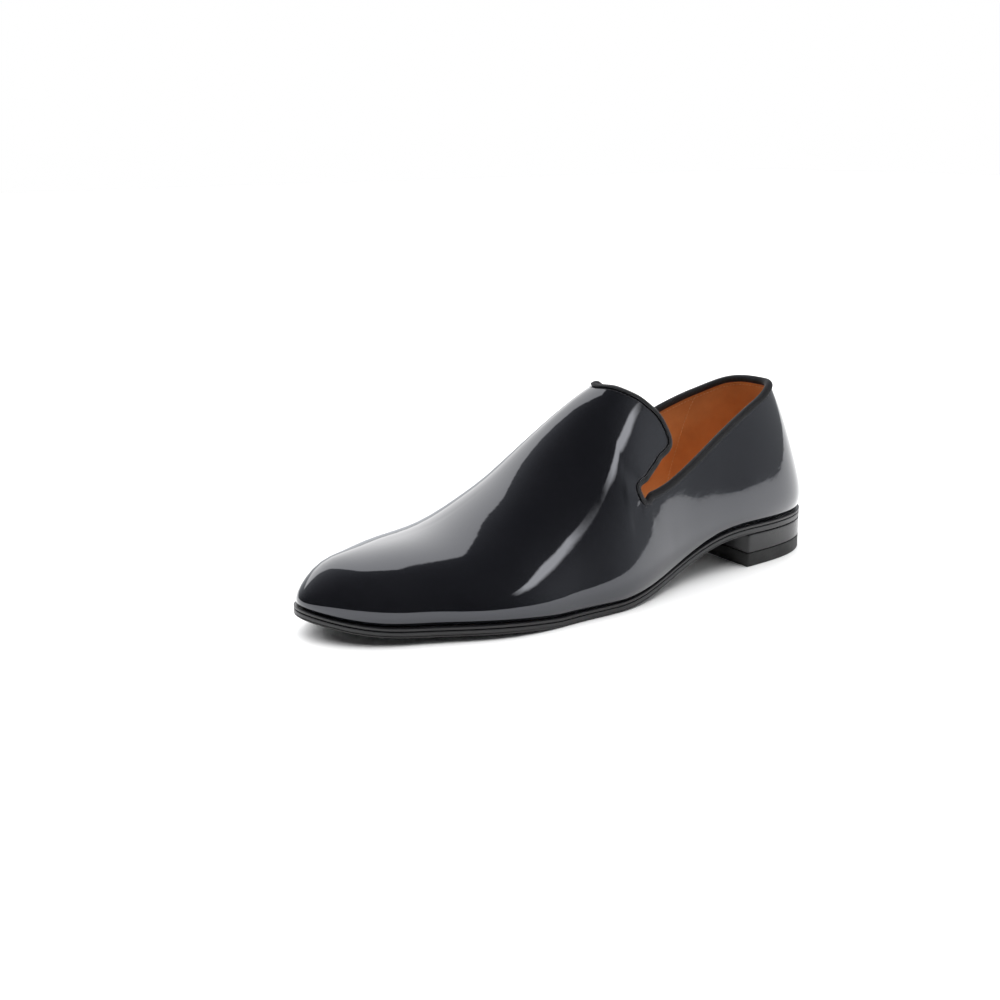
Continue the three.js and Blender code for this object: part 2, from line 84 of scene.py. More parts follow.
COLLAR_COLUMNS = ("station", "outer", "inner", "foot", "way", "climb", "ribs")
COLLAR_TABLE = (
    (0.0000, 0.5510, 0.5510, 0.000, 0.000, 0.300, 4),
    (0.0580, 0.5210, 0.5160, 0.050, 0.054, 0.280, 4),
    (0.1500, 0.4500, 0.4460, 0.140, 0.146, 0.240, 3),
    (0.2600, 0.3640, 0.3900, 0.246, 0.253, 0.190, 3),
    (0.3600, 0.3250, 0.3600, 0.352, 0.357, 0.200, 3),
    (0.4300, 0.3420, 0.3530, 0.426, 0.430, 0.220, 3),
    (0.4550, 0.3570, 0.3750, 0.468, 0.462, 0.270, 4),
    (0.4580, 0.3780, 0.3910, 0.500, 0.475, 0.360, 3),
    (0.4365, 0.4000, 0.4080, 0.530, 0.484, 0.420, 3),
    (0.4010, 0.4275, 0.4340, 0.565, 0.486, 0.475, 4),
    (0.3665, 0.4790, 0.4840, 0.620, 0.484, 0.560, 5),
    (0.3745, 0.5470, 0.5470, 0.680, 0.482, 0.650, 5),
    (0.4030, 0.6800, 0.6800, 0.770, 0.485, 0.740, 6),
    (0.4410, 0.8450, 0.8450, 0.880, 0.500, 0.850, 10),
    (0.4638, 1.0000, 1.0000, 1.000, 0.530, 1.000, 0),
)


class Side(Enum):
    """The two sides of the foot, by the sign of Y."""

    OUTER = 1
    INNER = -1


class Finish(Enum):
    """The record's material slots."""

    PATENT = "patent_leather"
    RIBBON = "ribbon"
    TAN = "tan_leather"
    EDGE = "edge_leather"
    SOLE = "sole_leather"
    HEEL = "heel_leather"
    RUBBER = "heel_rubber"


# The last and the collar


class NaturalCubic:
    """A natural cubic through table values, straight beyond its ends."""

    def __init__(self, xs: np.ndarray, ys: np.ndarray) -> None:
        """Solves the curve.

        Args:
            xs: Rising places.
            ys: Values at those places.
        """
        self.xs = np.asarray(xs, float)
        self.ys = np.asarray(ys, float)
        n = len(self.xs)
        sub, rhs, bend = np.zeros(n), np.zeros(n), np.zeros(n)
        gap = np.diff(self.xs)
        rate = np.diff(self.ys) / gap
        for i in range(1, n - 1):
            pivot = 2 * (gap[i - 1] + gap[i]) - gap[i - 1] * sub[i - 1]
            sub[i] = gap[i] / pivot
            rhs[i] = (6 * (rate[i] - rate[i - 1]) - gap[i - 1] * rhs[i - 1]) / pivot
        for i in range(n - 2, 0, -1):
            bend[i] = rhs[i] - sub[i] * bend[i + 1]
        self.bend = bend
        self.first = rate[0] - bend[1] * gap[0] / 6
        self.final = rate[-1] + bend[-2] * gap[-1] / 6

    def __call__(self, x: np.ndarray) -> np.ndarray:
        """Returns the curve's values at x."""
        x = np.asarray(x, float)
        xs, ys, bend = self.xs, self.ys, self.bend
        i = np.clip(np.searchsorted(xs, x, side="left") - 1, 0, len(xs) - 2)
        h = xs[i + 1] - xs[i]
        a, b = xs[i + 1] - x, x - xs[i]
        value = (bend[i] * a**3 + bend[i + 1] * b**3) / (6 * h)
        value = value + (ys[i] / h - bend[i] * h / 6) * a
        value = value + (ys[i + 1] / h - bend[i + 1] * h / 6) * b
        value = np.where(x <= xs[0], ys[0] + self.first * (x - xs[0]), value)
        return np.where(x >= xs[-1], ys[-1] + self.final * (x - xs[-1]), value)


def turn_of(station: np.ndarray) -> np.ndarray:
    """Returns the turn, 0 at the heel to 1 at the toe, of a share of the length."""
    return np.arccos(1 - 2 * np.asarray(station, float)) / np.pi


def unit(v: np.ndarray) -> np.ndarray:
    """Returns vectors of length one."""
    return v / np.maximum(np.linalg.norm(v, axis=-1, keepdims=True), 1e-12)


def ease_in(share: np.ndarray) -> np.ndarray:
    """Returns a soft step from 0 to 1 over a share from 0 to 1."""
    share = np.clip(share, 0, 1)
    return share**2 * (3 - 2 * share)


@dataclass
class Last:
    """The last that the shoe is built on, and the surface of the upper over it.

    stack is the height of the feather line over the sole's underside. middle is where
    the row frame has its origin.
    """

    shoe_length: float = 298.0
    ball_width: float = 97.0
    instep_height: float = 90.5
    heel_rise: float = 17.2
    toe_spring: float = 9.6
    wall_bulge: float = 2.5
    bulge_height: float = 10.0
    heel_fan: float = 60.0
    toe_fan: float = 43.0
    fan_ease: float = 10.0
    welt_reveal: float = 2.0
    tread_ease: float = 1.0
    stack: float = 5.1
    middle: tuple[float, float] = (149.0, 0.0696)
    halvings: int = 44
    on_centre: float = 1e-7

    def __post_init__(self) -> None:
        """Makes the curves of the last from its table."""
        table = {n: np.array(c) for n, c in zip(LAST_COLUMNS, zip(*LAST_TABLE))}
        half = self.ball_width / 2

        def column(name: str, size: float) -> NaturalCubic:
            """Returns one column as a curve over the stations."""
            return NaturalCubic(table["station"], table[name] * size)

        self.half_width = NaturalCubic(turn_of(table["station"]), table["width"] * half)
        self.swing = column("swing", half)
        self.heel = column("heel", self.heel_rise + self.tread_ease)
        self.toe = column("toe", self.toe_spring + self.tread_ease)
        self.crown = column("crown", self.instep_height)
        self.lean = column("lean", half)
        self.shoulder = column("shoulder", 1.0)
        self.arch = column("arch", 1.0)
        self.bulge = column("bulge", self.wall_bulge)
        self.reveal = column("reveal", self.welt_reveal)
        self.back = table["reveal"][0] * self.welt_reveal
        self.tip = self.shoe_length - table["reveal"][-1] * self.welt_reveal
        self.span = self.tip - self.back

    def share(self, x: np.ndarray) -> np.ndarray:
        """Returns the share of the feather length at x."""
        return (x - self.back) / self.span

    def tread(self, x: np.ndarray) -> np.ndarray:
        """Returns the height of the sole's underside at x."""
        raw = self.heel(self.share(x)) + self.toe(self.share(x))
        safe = np.maximum(raw, 0)
        return safe * safe / (safe + self.tread_ease)

    def seat(self, x: np.ndarray) -> np.ndarray:
        """Returns the height of the feather line at x."""
        return self.tread(x) + self.stack

    def outline(self, turn: np.ndarray, side: np.ndarray) -> np.ndarray:
        """Returns points of the feather line, seen from above.

        Args:
            turn: 0 at the heel to 1 at the toe.
            side: 1 on the outer side of the foot, -1 on the inner.

        Returns:
            x and y in the last axis.
        """
        x = self.back + self.span * (1 - np.cos(np.pi * turn)) / 2
        return np.stack([x, self.swing(self.share(x)) + side * self.half_width(turn)], -1)

    def outward(self, turn: np.ndarray, side: np.ndarray) -> np.ndarray:
        """Returns the outline's outward directions, seen from above."""
        a = self.outline(np.maximum(0, turn - 0.001), side)
        b = self.outline(np.minimum(1, turn + 0.001), side)
        d = unit(b - a)
        return np.stack([-d[..., 1] * side, d[..., 0] * side], -1)

    def offset(self, turn: np.ndarray, side: np.ndarray, distance: np.ndarray) -> np.ndarray:
        """Returns the outline moved outward by a distance."""
        step = self.outward(turn, side) * np.asarray(distance)[..., None]
        return self.outline(turn, side) + step

    def ridge_x(self, x: np.ndarray) -> np.ndarray:
        """Returns where the section that starts at x meets the ridge."""
        ease = self.fan_ease
        back = self.heel_fan + ease * np.logaddexp(0, (x - self.heel_fan) / ease)
        front = self.shoe_length - self.toe_fan
        return front - ease * np.logaddexp(0, (front - back) / ease)

    def skin(self, turn: np.ndarray, rise: np.ndarray, side: np.ndarray) -> np.ndarray:
        """Returns points on the outside of the upper.

        Args:
            turn: 0 at the heel to 1 at the toe.
            rise: 0 at the feather line to 1 at the ridge.
            side: 1 on the outer side, -1 on the inner.

        Returns:
            x, y and z in the last axis.
        """
        foot = self.outline(turn, side)
        n = self.outward(turn, side)
        share = self.share(foot[..., 0])
        cx = self.ridge_x(foot[..., 0])
        cy = self.swing(self.share(cx)) + self.lean(self.share(cx))
        cos = np.cos(rise * np.pi / 2)
        x = foot[..., 0] + (cx - foot[..., 0]) * (1 - cos)
        y = foot[..., 1] + (cy - foot[..., 1]) * (1 - cos)
        curve = 1 - np.maximum(cos, 0) ** self.arch(share)
        up = np.maximum(curve, 0) ** (1 / self.shoulder(share))
        low = self.seat(foot[..., 0])
        high = self.seat(x) + self.crown(self.share(x))
        z = low + (high - low) * up
        level = (z - low) / self.bulge_height
        swell = self.bulge(share) * level * np.exp(1 - level)
        return np.stack([x + n[..., 0] * swell, y + n[..., 1] * swell, z], -1)

    def layout(self, turn: np.ndarray, rise: np.ndarray, side: np.ndarray) -> np.ndarray:
        """Returns places on the foot laid out flat and straight."""
        foot = self.outline(turn, side)[..., 0]
        x = foot + (self.ridge_x(foot) - foot) * rise
        return np.stack([x, side * self.half_width(turn) * (1 - rise)], -1)

    def over(self, p: np.ndarray) -> np.ndarray:
        """Returns the points of the skin over places of the layout."""
        side = np.where(p[..., 1] < 0, -1.0, 1.0)
        y = np.abs(p[..., 1])
        low, high = np.zeros_like(y), np.ones_like(y)

        def rise_at(turn: np.ndarray) -> np.ndarray:
            """Returns how far up the section a place lies on that turn."""
            return np.maximum(0, 1 - y / np.maximum(self.half_width(turn), 1e-9))

        for _ in range(self.halvings):
            turn = (low + high) / 2
            past = self.layout(turn, rise_at(turn), np.ones_like(y))[..., 0] > p[..., 0]
            high, low = np.where(past, turn, high), np.where(past, low, turn)
        turn = (low + high) / 2
        rise = rise_at(turn)
        ends = self.ridge_x(np.array([self.back, self.tip]))
        heel = (y < self.on_centre) & (p[..., 0] <= ends[0])
        toe = (y < self.on_centre) & (p[..., 0] >= ends[1])
        rise = np.where(heel, (p[..., 0] - self.back) / (ends[0] - self.back), rise)
        rise = np.where(toe, (self.tip - p[..., 0]) / (self.tip - ends[1]), rise)
        turn = np.where(heel, 0.0, np.where(toe, 1.0, turn))
        return self.skin(turn, rise, side)

    def slopes(self, p: np.ndarray, step: float = 0.3) -> tuple[np.ndarray, np.ndarray]:
        """Returns how the skin moves along and across the layout at p."""
        dx, dy = np.array([step, 0.0]), np.array([0.0, step])
        ahead = (self.over(p + dx) - self.over(p - dx)) / (2 * step)
        aside = (self.over(p + dy) - self.over(p - dy)) / (2 * step)
        return ahead, aside

    def facing(self, p: np.ndarray) -> np.ndarray:
        """Returns the way the skin faces over places of the layout."""
        ahead, aside = self.slopes(p)
        return unit(np.cross(ahead, aside))

    def row_frame(self, points: np.ndarray) -> np.ndarray:
        """Returns shoe points in metres in the row frame."""
        return (points - np.array([self.middle[0], self.middle[1], 0.0])) / 1000


@dataclass
class Collar:
    """The line of the collar, notch and tongue, and the ribs that run up to it.

    Between rows that lie further apart than long_span the line is evened out, and
    round the notch it keeps to its rows.
    """

    last: Last
    ribs_per_rib: int = 4
    low_rows: int = 30
    high_rows: int = 18
    long_span: float = 12.0
    ease_rounds: int = 40
    rim_steps: int = 24
    low_spacing: float = 1.5
    drop_rounds: int = 6

    def __post_init__(self) -> None:
        """Reads the collar's table for both sides of the foot."""
        rows = [dict(zip(COLLAR_COLUMNS, row)) for row in COLLAR_TABLE]
        down = [dict(row, ribs=rows[i]["ribs"]) for i, row in enumerate(rows[1:])][::-1]
        self.rim_points, self.way_points, self.feet, self.ribs = [], [], [], []
        for side, part in ((Side.OUTER, rows[:-1]), (Side.INNER, down)):
            for row in part:
                inner = side is Side.INNER
                sign = float(side.value)
                lower = row["inner"] - row["outer"] if inner else 0.0
                height = row["inner"] if inner else row["outer"]
                turn = turn_of(row["station"])
                self.rim_points.append(self.last.layout(turn, height, sign))
                way = self.last.layout(turn_of(row["way"]), row["climb"] + lower, sign)
                self.way_points.append(way)
                foot = float(turn_of(row["foot"]))
                self.feet.append(2 - foot if inner else foot)
                self.ribs.append(row["ribs"])

    def rounds(self, fine: int) -> np.ndarray:
        """Returns the feet of the ribs: 0 at the heel, 1 at the toe, 2 at the heel."""
        ends = self.feet[1:] + [2.0]
        parts = [
            a + (b - a) * np.arange(n * fine) / (n * fine)
            for a, b, n in zip(self.feet, ends, self.ribs)
        ]
        return np.concatenate(parts)

    def closed(self, points: list[np.ndarray], fine: int) -> np.ndarray:
        """Returns a smooth closed curve through points of the layout."""
        p = np.array(points)
        n = len(p)
        after = np.roll(p, -1, 0)
        span = np.linalg.norm(after - p, axis=1)
        before = np.roll(span, 1)[:, None]
        back = (p - np.roll(p, 1, 0)) / before
        ahead = (after - p) / span[:, None]
        own = span[:, None]
        target = back * own + ahead * before
        slope = target / (before + own)
        long = np.minimum(before, own) > self.long_span
        for _ in range(self.ease_rounds):
            even = 3 * target - own * np.roll(slope, 1, 0) - before * np.roll(slope, -1, 0)
            slope = np.where(long, even / (2 * (before + own)), slope)
        out = []
        for i in range(n):
            count = self.ribs[i] * fine
            s = (np.arange(count) / count)[:, None]
            w0 = 1 - 3 * s**2 + 2 * s**3
            w1 = span[i] * s * (1 - s) ** 2
            w2 = span[i] * s**2 * (s - 1)
            j = (i + 1) % n
            out.append(w0 * p[i] + (1 - w0) * p[j] + w1 * slope[i] + w2 * slope[j])
        return np.concatenate(out)

    def wall(self) -> np.ndarray:
        """Returns the ribs as places of the layout, rib by row, feather line first."""
        fine = self.ribs_per_rib
        rim = self.closed(self.rim_points, fine)
        way = self.closed(self.way_points, fine)
        turn, side = split_round(self.rounds(fine))
        base = self.last.layout(turn, np.zeros_like(turn), side)
        low = (np.arange(self.low_rows + 1) / self.low_rows) ** self.low_spacing
        high = np.arange(1, self.high_rows + 1) / self.high_rows
        foot = base[:, None] + (way - base)[:, None] * low[None, :, None]
        head = way[:, None] + (rim - way)[:, None] * high[None, :, None]
        return np.concatenate([foot, head], 1)

    def evenly(self, places: np.ndarray, count: int) -> np.ndarray:
        """Returns a closed line of the layout with even steps on the skin."""
        closed = np.concatenate([places, places[:1]])
        points = self.last.over(closed)
        run = np.concatenate([[0], np.cumsum(np.linalg.norm(np.diff(points, axis=0), axis=1))])
        at = np.arange(count) * run[-1] / count
        return np.stack([np.interp(at, run, closed[:, k]) for k in range(2)], -1)

    def rim(self, count: int) -> np.ndarray:
        """Returns the collar's edge as evenly spaced places of the layout."""
        return self.evenly(self.closed(self.rim_points, self.rim_steps), count)

    def below(self, rim: np.ndarray, distance: float) -> np.ndarray:
        """Returns places of the layout at a distance down the wall from the rim."""
        edge, along, out, up = self.frames(rim)
        target = edge - up * distance
        p = rim.copy()
        for _ in range(self.drop_rounds):
            ahead, aside = self.last.slopes(p)
            miss = target - self.last.over(p)
            aa, ab, bb = (ahead**2).sum(-1), (ahead * aside).sum(-1), (aside**2).sum(-1)
            ma, mb = (miss * ahead).sum(-1), (miss * aside).sum(-1)
            det = aa * bb - ab * ab
            p = p + np.stack([(ma * bb - mb * ab) / det, (mb * aa - ma * ab) / det], -1)
        return p

    def frames(self, rim: np.ndarray) -> tuple[np.ndarray, ...]:
        """Returns the edge, and the ways along it, out of the wall and up past it."""
        edge = self.last.over(rim)
        along = unit(np.roll(edge, -1, 0) - np.roll(edge, 1, 0))
        out = self.last.facing(rim)
        out = unit(out - along * (out * along).sum(-1, keepdims=True))
        return edge, along, out, unit(np.cross(along, out))


def split_round(rounds: np.ndarray) -> tuple[np.ndarray, np.ndarray]:
    """Returns turn and side of places counted once round the shoe."""
    return np.where(rounds > 1, 2 - rounds, rounds), np.where(rounds > 1, -1.0, 1.0)


# Meshes


def place(name: str, data: bpy.types.Mesh) -> bpy.types.Object:
    """Returns a linked object of a mesh, at the origin."""
    obj = bpy.data.objects.new(name, data)
    bpy.context.scene.collection.objects.link(obj)
    return obj


@dataclass
class Shapes:
    """Makes closed meshes from arrays of points in millimetres."""

    last: Last
    same_place: float = 1e-7

    def mesh(self, name: str, points: np.ndarray, faces: list) -> bpy.types.Object:
        """Returns an object of points and faces, in metres, with its faces outward.

        Args:
            name: The piece's name.
            points: Points in millimetres.
            faces: Corner numbers, a tuple for each face.

        Returns:
            The linked object, at the origin.
        """
        data = bpy.data.meshes.new(name)
        data.from_pydata(self.last.row_frame(points).tolist(), [], faces)
        data.validate()
        work = bmesh.new()
        work.from_mesh(data)
        bmesh.ops.remove_doubles(work, verts=work.verts, dist=self.same_place)
        bmesh.ops.recalc_face_normals(work, faces=work.faces)
        if work.calc_volume(signed=True) < 0:
            bmesh.ops.reverse_faces(work, faces=work.faces)
        work.to_mesh(data)
        work.free()
        data.shade_smooth()
        return place(name, data)

    def tube(self, sections: np.ndarray) -> tuple[np.ndarray, list]:
        """Returns points and faces of closed sections that close round on themselves."""
        n, m = sections.shape[:2]
        k, j = np.meshgrid(np.arange(n), np.arange(m), indexing="ij")
        a, b = k * m + j, ((k + 1) % n) * m + j
        c, d = ((k + 1) % n) * m + (j + 1) % m, k * m + (j + 1) % m
        faces = np.stack([a, b, c, d], -1).reshape(-1, 4)
        return sections.reshape(-1, 3), [tuple(map(int, f)) for f in faces]

    def stack(self, loops: list[np.ndarray]) -> tuple[np.ndarray, list]:
        """Returns points and faces of stacked loops with strips across both ends."""
        size = len(loops[0])
        faces = []
        for i in range(len(loops) - 1):
            for j in range(size):
                k = (j + 1) % size
                low, high = i * size, (i + 1) * size
                faces.append((low + j, low + k, high + k, high + j))
        for start in (0, (len(loops) - 1) * size):
            for j in range(size // 2):
                ring = (j, j + 1, (size - j - 1) % size, (size - j) % size)
                cell = [start + i for i in dict.fromkeys(ring)]
                if len(cell) > 2:
                    faces.append(tuple(cell))
        return np.concatenate(loops), faces


def spread(obj: bpy.types.Object, name: str, values: np.ndarray) -> None:
    """Stores one number for each vertex of a mesh as a named attribute."""
    attribute = obj.data.attributes.new(name, "FLOAT", "POINT")
    attribute.data.foreach_set("value", np.asarray(values, np.float32))


def spread_vectors(obj: bpy.types.Object, name: str, values: np.ndarray) -> None:
    """Stores one direction for each vertex of a mesh as a named attribute."""
    attribute = obj.data.attributes.new(name, "FLOAT_VECTOR", "POINT")
    attribute.data.foreach_set("vector", np.asarray(values, np.float32).ravel())


# Geometry nodes


def maths(tree: bpy.types.NodeTree, kind: str, a: object, b: object = None) -> bpy.types.NodeSocket:
    """Returns the result of one maths node.

    Args:
        tree: The tree that the node goes into.
        kind: The operation.
        a: Its first socket or number.
        b: Its second socket or number, where it has one.

    Returns:
        The node's output.
    """
    node = tree.nodes.new("ShaderNodeMath")
    node.operation = kind
    for socket, value in zip(node.inputs, (a, b)):
        if isinstance(value, bpy.types.NodeSocket):
            tree.links.new(value, socket)
        elif value is not None:
            socket.default_value = value
    return node.outputs[0]


def start_tree(name: str, sizes: dict[str, float]) -> bpy.types.NodeTree:
    """Returns a geometry node tree with inputs for its sizes and its material.

    Args:
        name: The tree's name.
        sizes: The first value of each size by name.

    Returns:
        The tree.
    """
    tree = bpy.data.node_groups.new(name, "GeometryNodeTree")
    face = tree.interface
    face.new_socket("Geometry", in_out="INPUT", socket_type="NodeSocketGeometry")
    for label, value in sizes.items():
        socket = face.new_socket(label, in_out="INPUT", socket_type="NodeSocketFloat")
        socket.default_value = value
    face.new_socket("Material", in_out="INPUT", socket_type="NodeSocketMaterial")
    face.new_socket("Geometry", in_out="OUTPUT", socket_type="NodeSocketGeometry")
    return tree


class StitchTree:
    """A node tree that lays one stitch on each vertex of a line."""

    def __init__(self) -> None:
        """Builds the tree with its named inputs."""
        tree = start_tree("stitch_row", {"Length": 0.0014, "Width": 0.0005, "Height": 0.0005})
        nodes, links = tree.nodes, tree.links
        source = nodes.new("NodeGroupInput")
        ball = nodes.new("GeometryNodeMeshUVSphere")
        ball.inputs["Segments"].default_value = 8
        ball.inputs["Rings"].default_value = 5
        ball.inputs["Radius"].default_value = 0.5
        size = nodes.new("ShaderNodeCombineXYZ")
        for axis, name in zip("XYZ", ("Length", "Width", "Height")):
            links.new(source.outputs[name], size.inputs[axis])
        shape = nodes.new("GeometryNodeTransform")
        links.new(ball.outputs["Mesh"], shape.inputs["Geometry"])
        links.new(size.outputs[0], shape.inputs["Scale"])
        turn = nodes.new("FunctionNodeAxesToRotation")
        turn.primary_axis, turn.secondary_axis = "X", "Z"
        for name, socket in (("along", "Primary Axis"), ("out", "Secondary Axis")):
            read = nodes.new("GeometryNodeInputNamedAttribute")
            read.data_type = "FLOAT_VECTOR"
            read.inputs["Name"].default_value = name
            links.new(read.outputs["Attribute"], turn.inputs[socket])
        lay = nodes.new("GeometryNodeInstanceOnPoints")
        links.new(source.outputs["Geometry"], lay.inputs["Points"])
        links.new(shape.outputs["Geometry"], lay.inputs["Instance"])
        links.new(turn.outputs["Rotation"], lay.inputs["Rotation"])
        finish_tree(tree, lay.outputs["Instances"], source.outputs["Material"])
        self.tree = tree


class RibTree:
    """A node tree that raises cross ribs along a ribbon."""

    def __init__(self) -> None:
        """Builds the tree with its named inputs."""
        tree = start_tree("ribbon_ribs", {"Ribs": 500.0, "Rib Height": 0.00012})
        nodes, links = tree.nodes, tree.links
        source = nodes.new("NodeGroupInput")

        def read(name: str) -> bpy.types.NodeSocket:
            """Returns a named number of the mesh."""
            node = nodes.new("GeometryNodeInputNamedAttribute")
            node.data_type = "FLOAT"
            node.inputs["Name"].default_value = name
            return node.outputs["Attribute"]

        phase = maths(tree, "MULTIPLY", read("run"), source.outputs["Ribs"])
        wave = maths(tree, "SINE", maths(tree, "MULTIPLY", phase, 2 * math.pi))
        height = maths(tree, "MULTIPLY", wave, source.outputs["Rib Height"])
        height = maths(tree, "MULTIPLY", height, read("body"))
        normal = nodes.new("GeometryNodeInputNormal")
        scale = nodes.new("ShaderNodeVectorMath")
        scale.operation = "SCALE"
        links.new(normal.outputs[0], scale.inputs[0])
        links.new(height, scale.inputs["Scale"])
        move = nodes.new("GeometryNodeSetPosition")
        links.new(source.outputs["Geometry"], move.inputs["Geometry"])
        links.new(scale.outputs[0], move.inputs["Offset"])
        finish_tree(tree, move.outputs["Geometry"], source.outputs["Material"])
        self.tree = tree


def finish_tree(
    tree: bpy.types.NodeTree, made: bpy.types.NodeSocket, material: bpy.types.NodeSocket
) -> None:
    """Ends a tree in realized, smooth geometry with its material.

    Args:
        tree: The node tree.
        made: The geometry so far.
        material: The tree's material input.
    """
    nodes, links = tree.nodes, tree.links
    real = nodes.new("GeometryNodeRealizeInstances")
    smooth = nodes.new("GeometryNodeSetShadeSmooth")
    paint = nodes.new("GeometryNodeSetMaterial")
    out = nodes.new("NodeGroupOutput")
    links.new(made, real.inputs[0])
    links.new(real.outputs[0], smooth.inputs["Geometry"])
    links.new(smooth.outputs[0], paint.inputs["Geometry"])
    links.new(material, paint.inputs["Material"])
    links.new(paint.outputs[0], out.inputs[0])


def run_tree(
    obj: bpy.types.Object, tree: bpy.types.NodeTree, values: dict[str, object]
) -> bpy.types.Object:
    """Runs a node tree on an object and keeps the result as its plain mesh.

    Args:
        obj: The object that the tree starts from.
        tree: The geometry node tree.
        values: The tree's inputs by name.

    Returns:
        The same object, with a new mesh and no modifier.
    """
    modifier = obj.modifiers.new(tree.name, "NODES")
    modifier.node_group = tree
    for item in tree.interface.items_tree:
        if item.item_type == "SOCKET" and item.in_out == "INPUT" and item.name in values:
            modifier[item.identifier] = values[item.name]
    bpy.context.view_layer.update()
    graph = bpy.context.evaluated_depsgraph_get()
    made = bpy.data.meshes.new_from_object(obj.evaluated_get(graph))
    obj.modifiers.remove(modifier)
    obj.data = made
    return obj


# Finishes


class Paint:
    """A material whose nodes are laid down one by one."""

    def __init__(self, name: str) -> None:
        """Starts a material with a Principled BSDF."""
        self.material = bpy.data.materials.new(name)
        self.material.use_nodes = True
        self.nodes = self.material.node_tree.nodes
        self.links = self.material.node_tree.links
        self.shader = self.nodes["Principled BSDF"]
        place = self.nodes.new("ShaderNodeTexCoord")
        self.place = place.outputs["Object"]

    def set(self, **values: object) -> Paint:
        """Sets the shader's own sockets, with underscores for spaces."""
        for name, value in values.items():
            self.shader.inputs[name.replace("_", " ")].default_value = value
        return self

    def attribute(self, name: str) -> bpy.types.NodeSocket:
        """Returns one of the mesh's own numbers."""
        node = self.nodes.new("ShaderNodeAttribute")
        node.attribute_name = name
        return node.outputs["Fac"]

    def group(self, tree: bpy.types.NodeTree, **values: object) -> bpy.types.ShaderNode:
        """Places a node group, and gives it values or sockets by name."""
        node = self.nodes.new("ShaderNodeGroup")
        node.node_tree = tree
        for name, value in values.items():
            socket = node.inputs[name.replace("_", " ")]
            if isinstance(value, bpy.types.NodeSocket):
                self.links.new(value, socket)
            else:
                socket.default_value = value
        if "Vector" in node.inputs and "Vector" not in values:
            self.links.new(self.place, node.inputs["Vector"])
        return node

    def feed(self, socket: str, source: bpy.types.NodeSocket) -> None:
        """Links a result to one of the shader's sockets."""
        self.links.new(source, self.shader.inputs[socket])

    def bump(self, height: bpy.types.NodeSocket, distance: float) -> None:
        """Raises the surface's shading by a height."""
        node = self.nodes.new("ShaderNodeBump")
        node.inputs["Distance"].default_value = distance
        self.links.new(height, node.inputs["Height"])
        self.links.new(node.outputs["Normal"], self.shader.inputs["Normal"])

    def times(self, a: bpy.types.NodeSocket, b: object) -> bpy.types.NodeSocket:
        """Returns the product of a socket and a socket or number."""
        return maths(self.material.node_tree, "MULTIPLY", a, b)


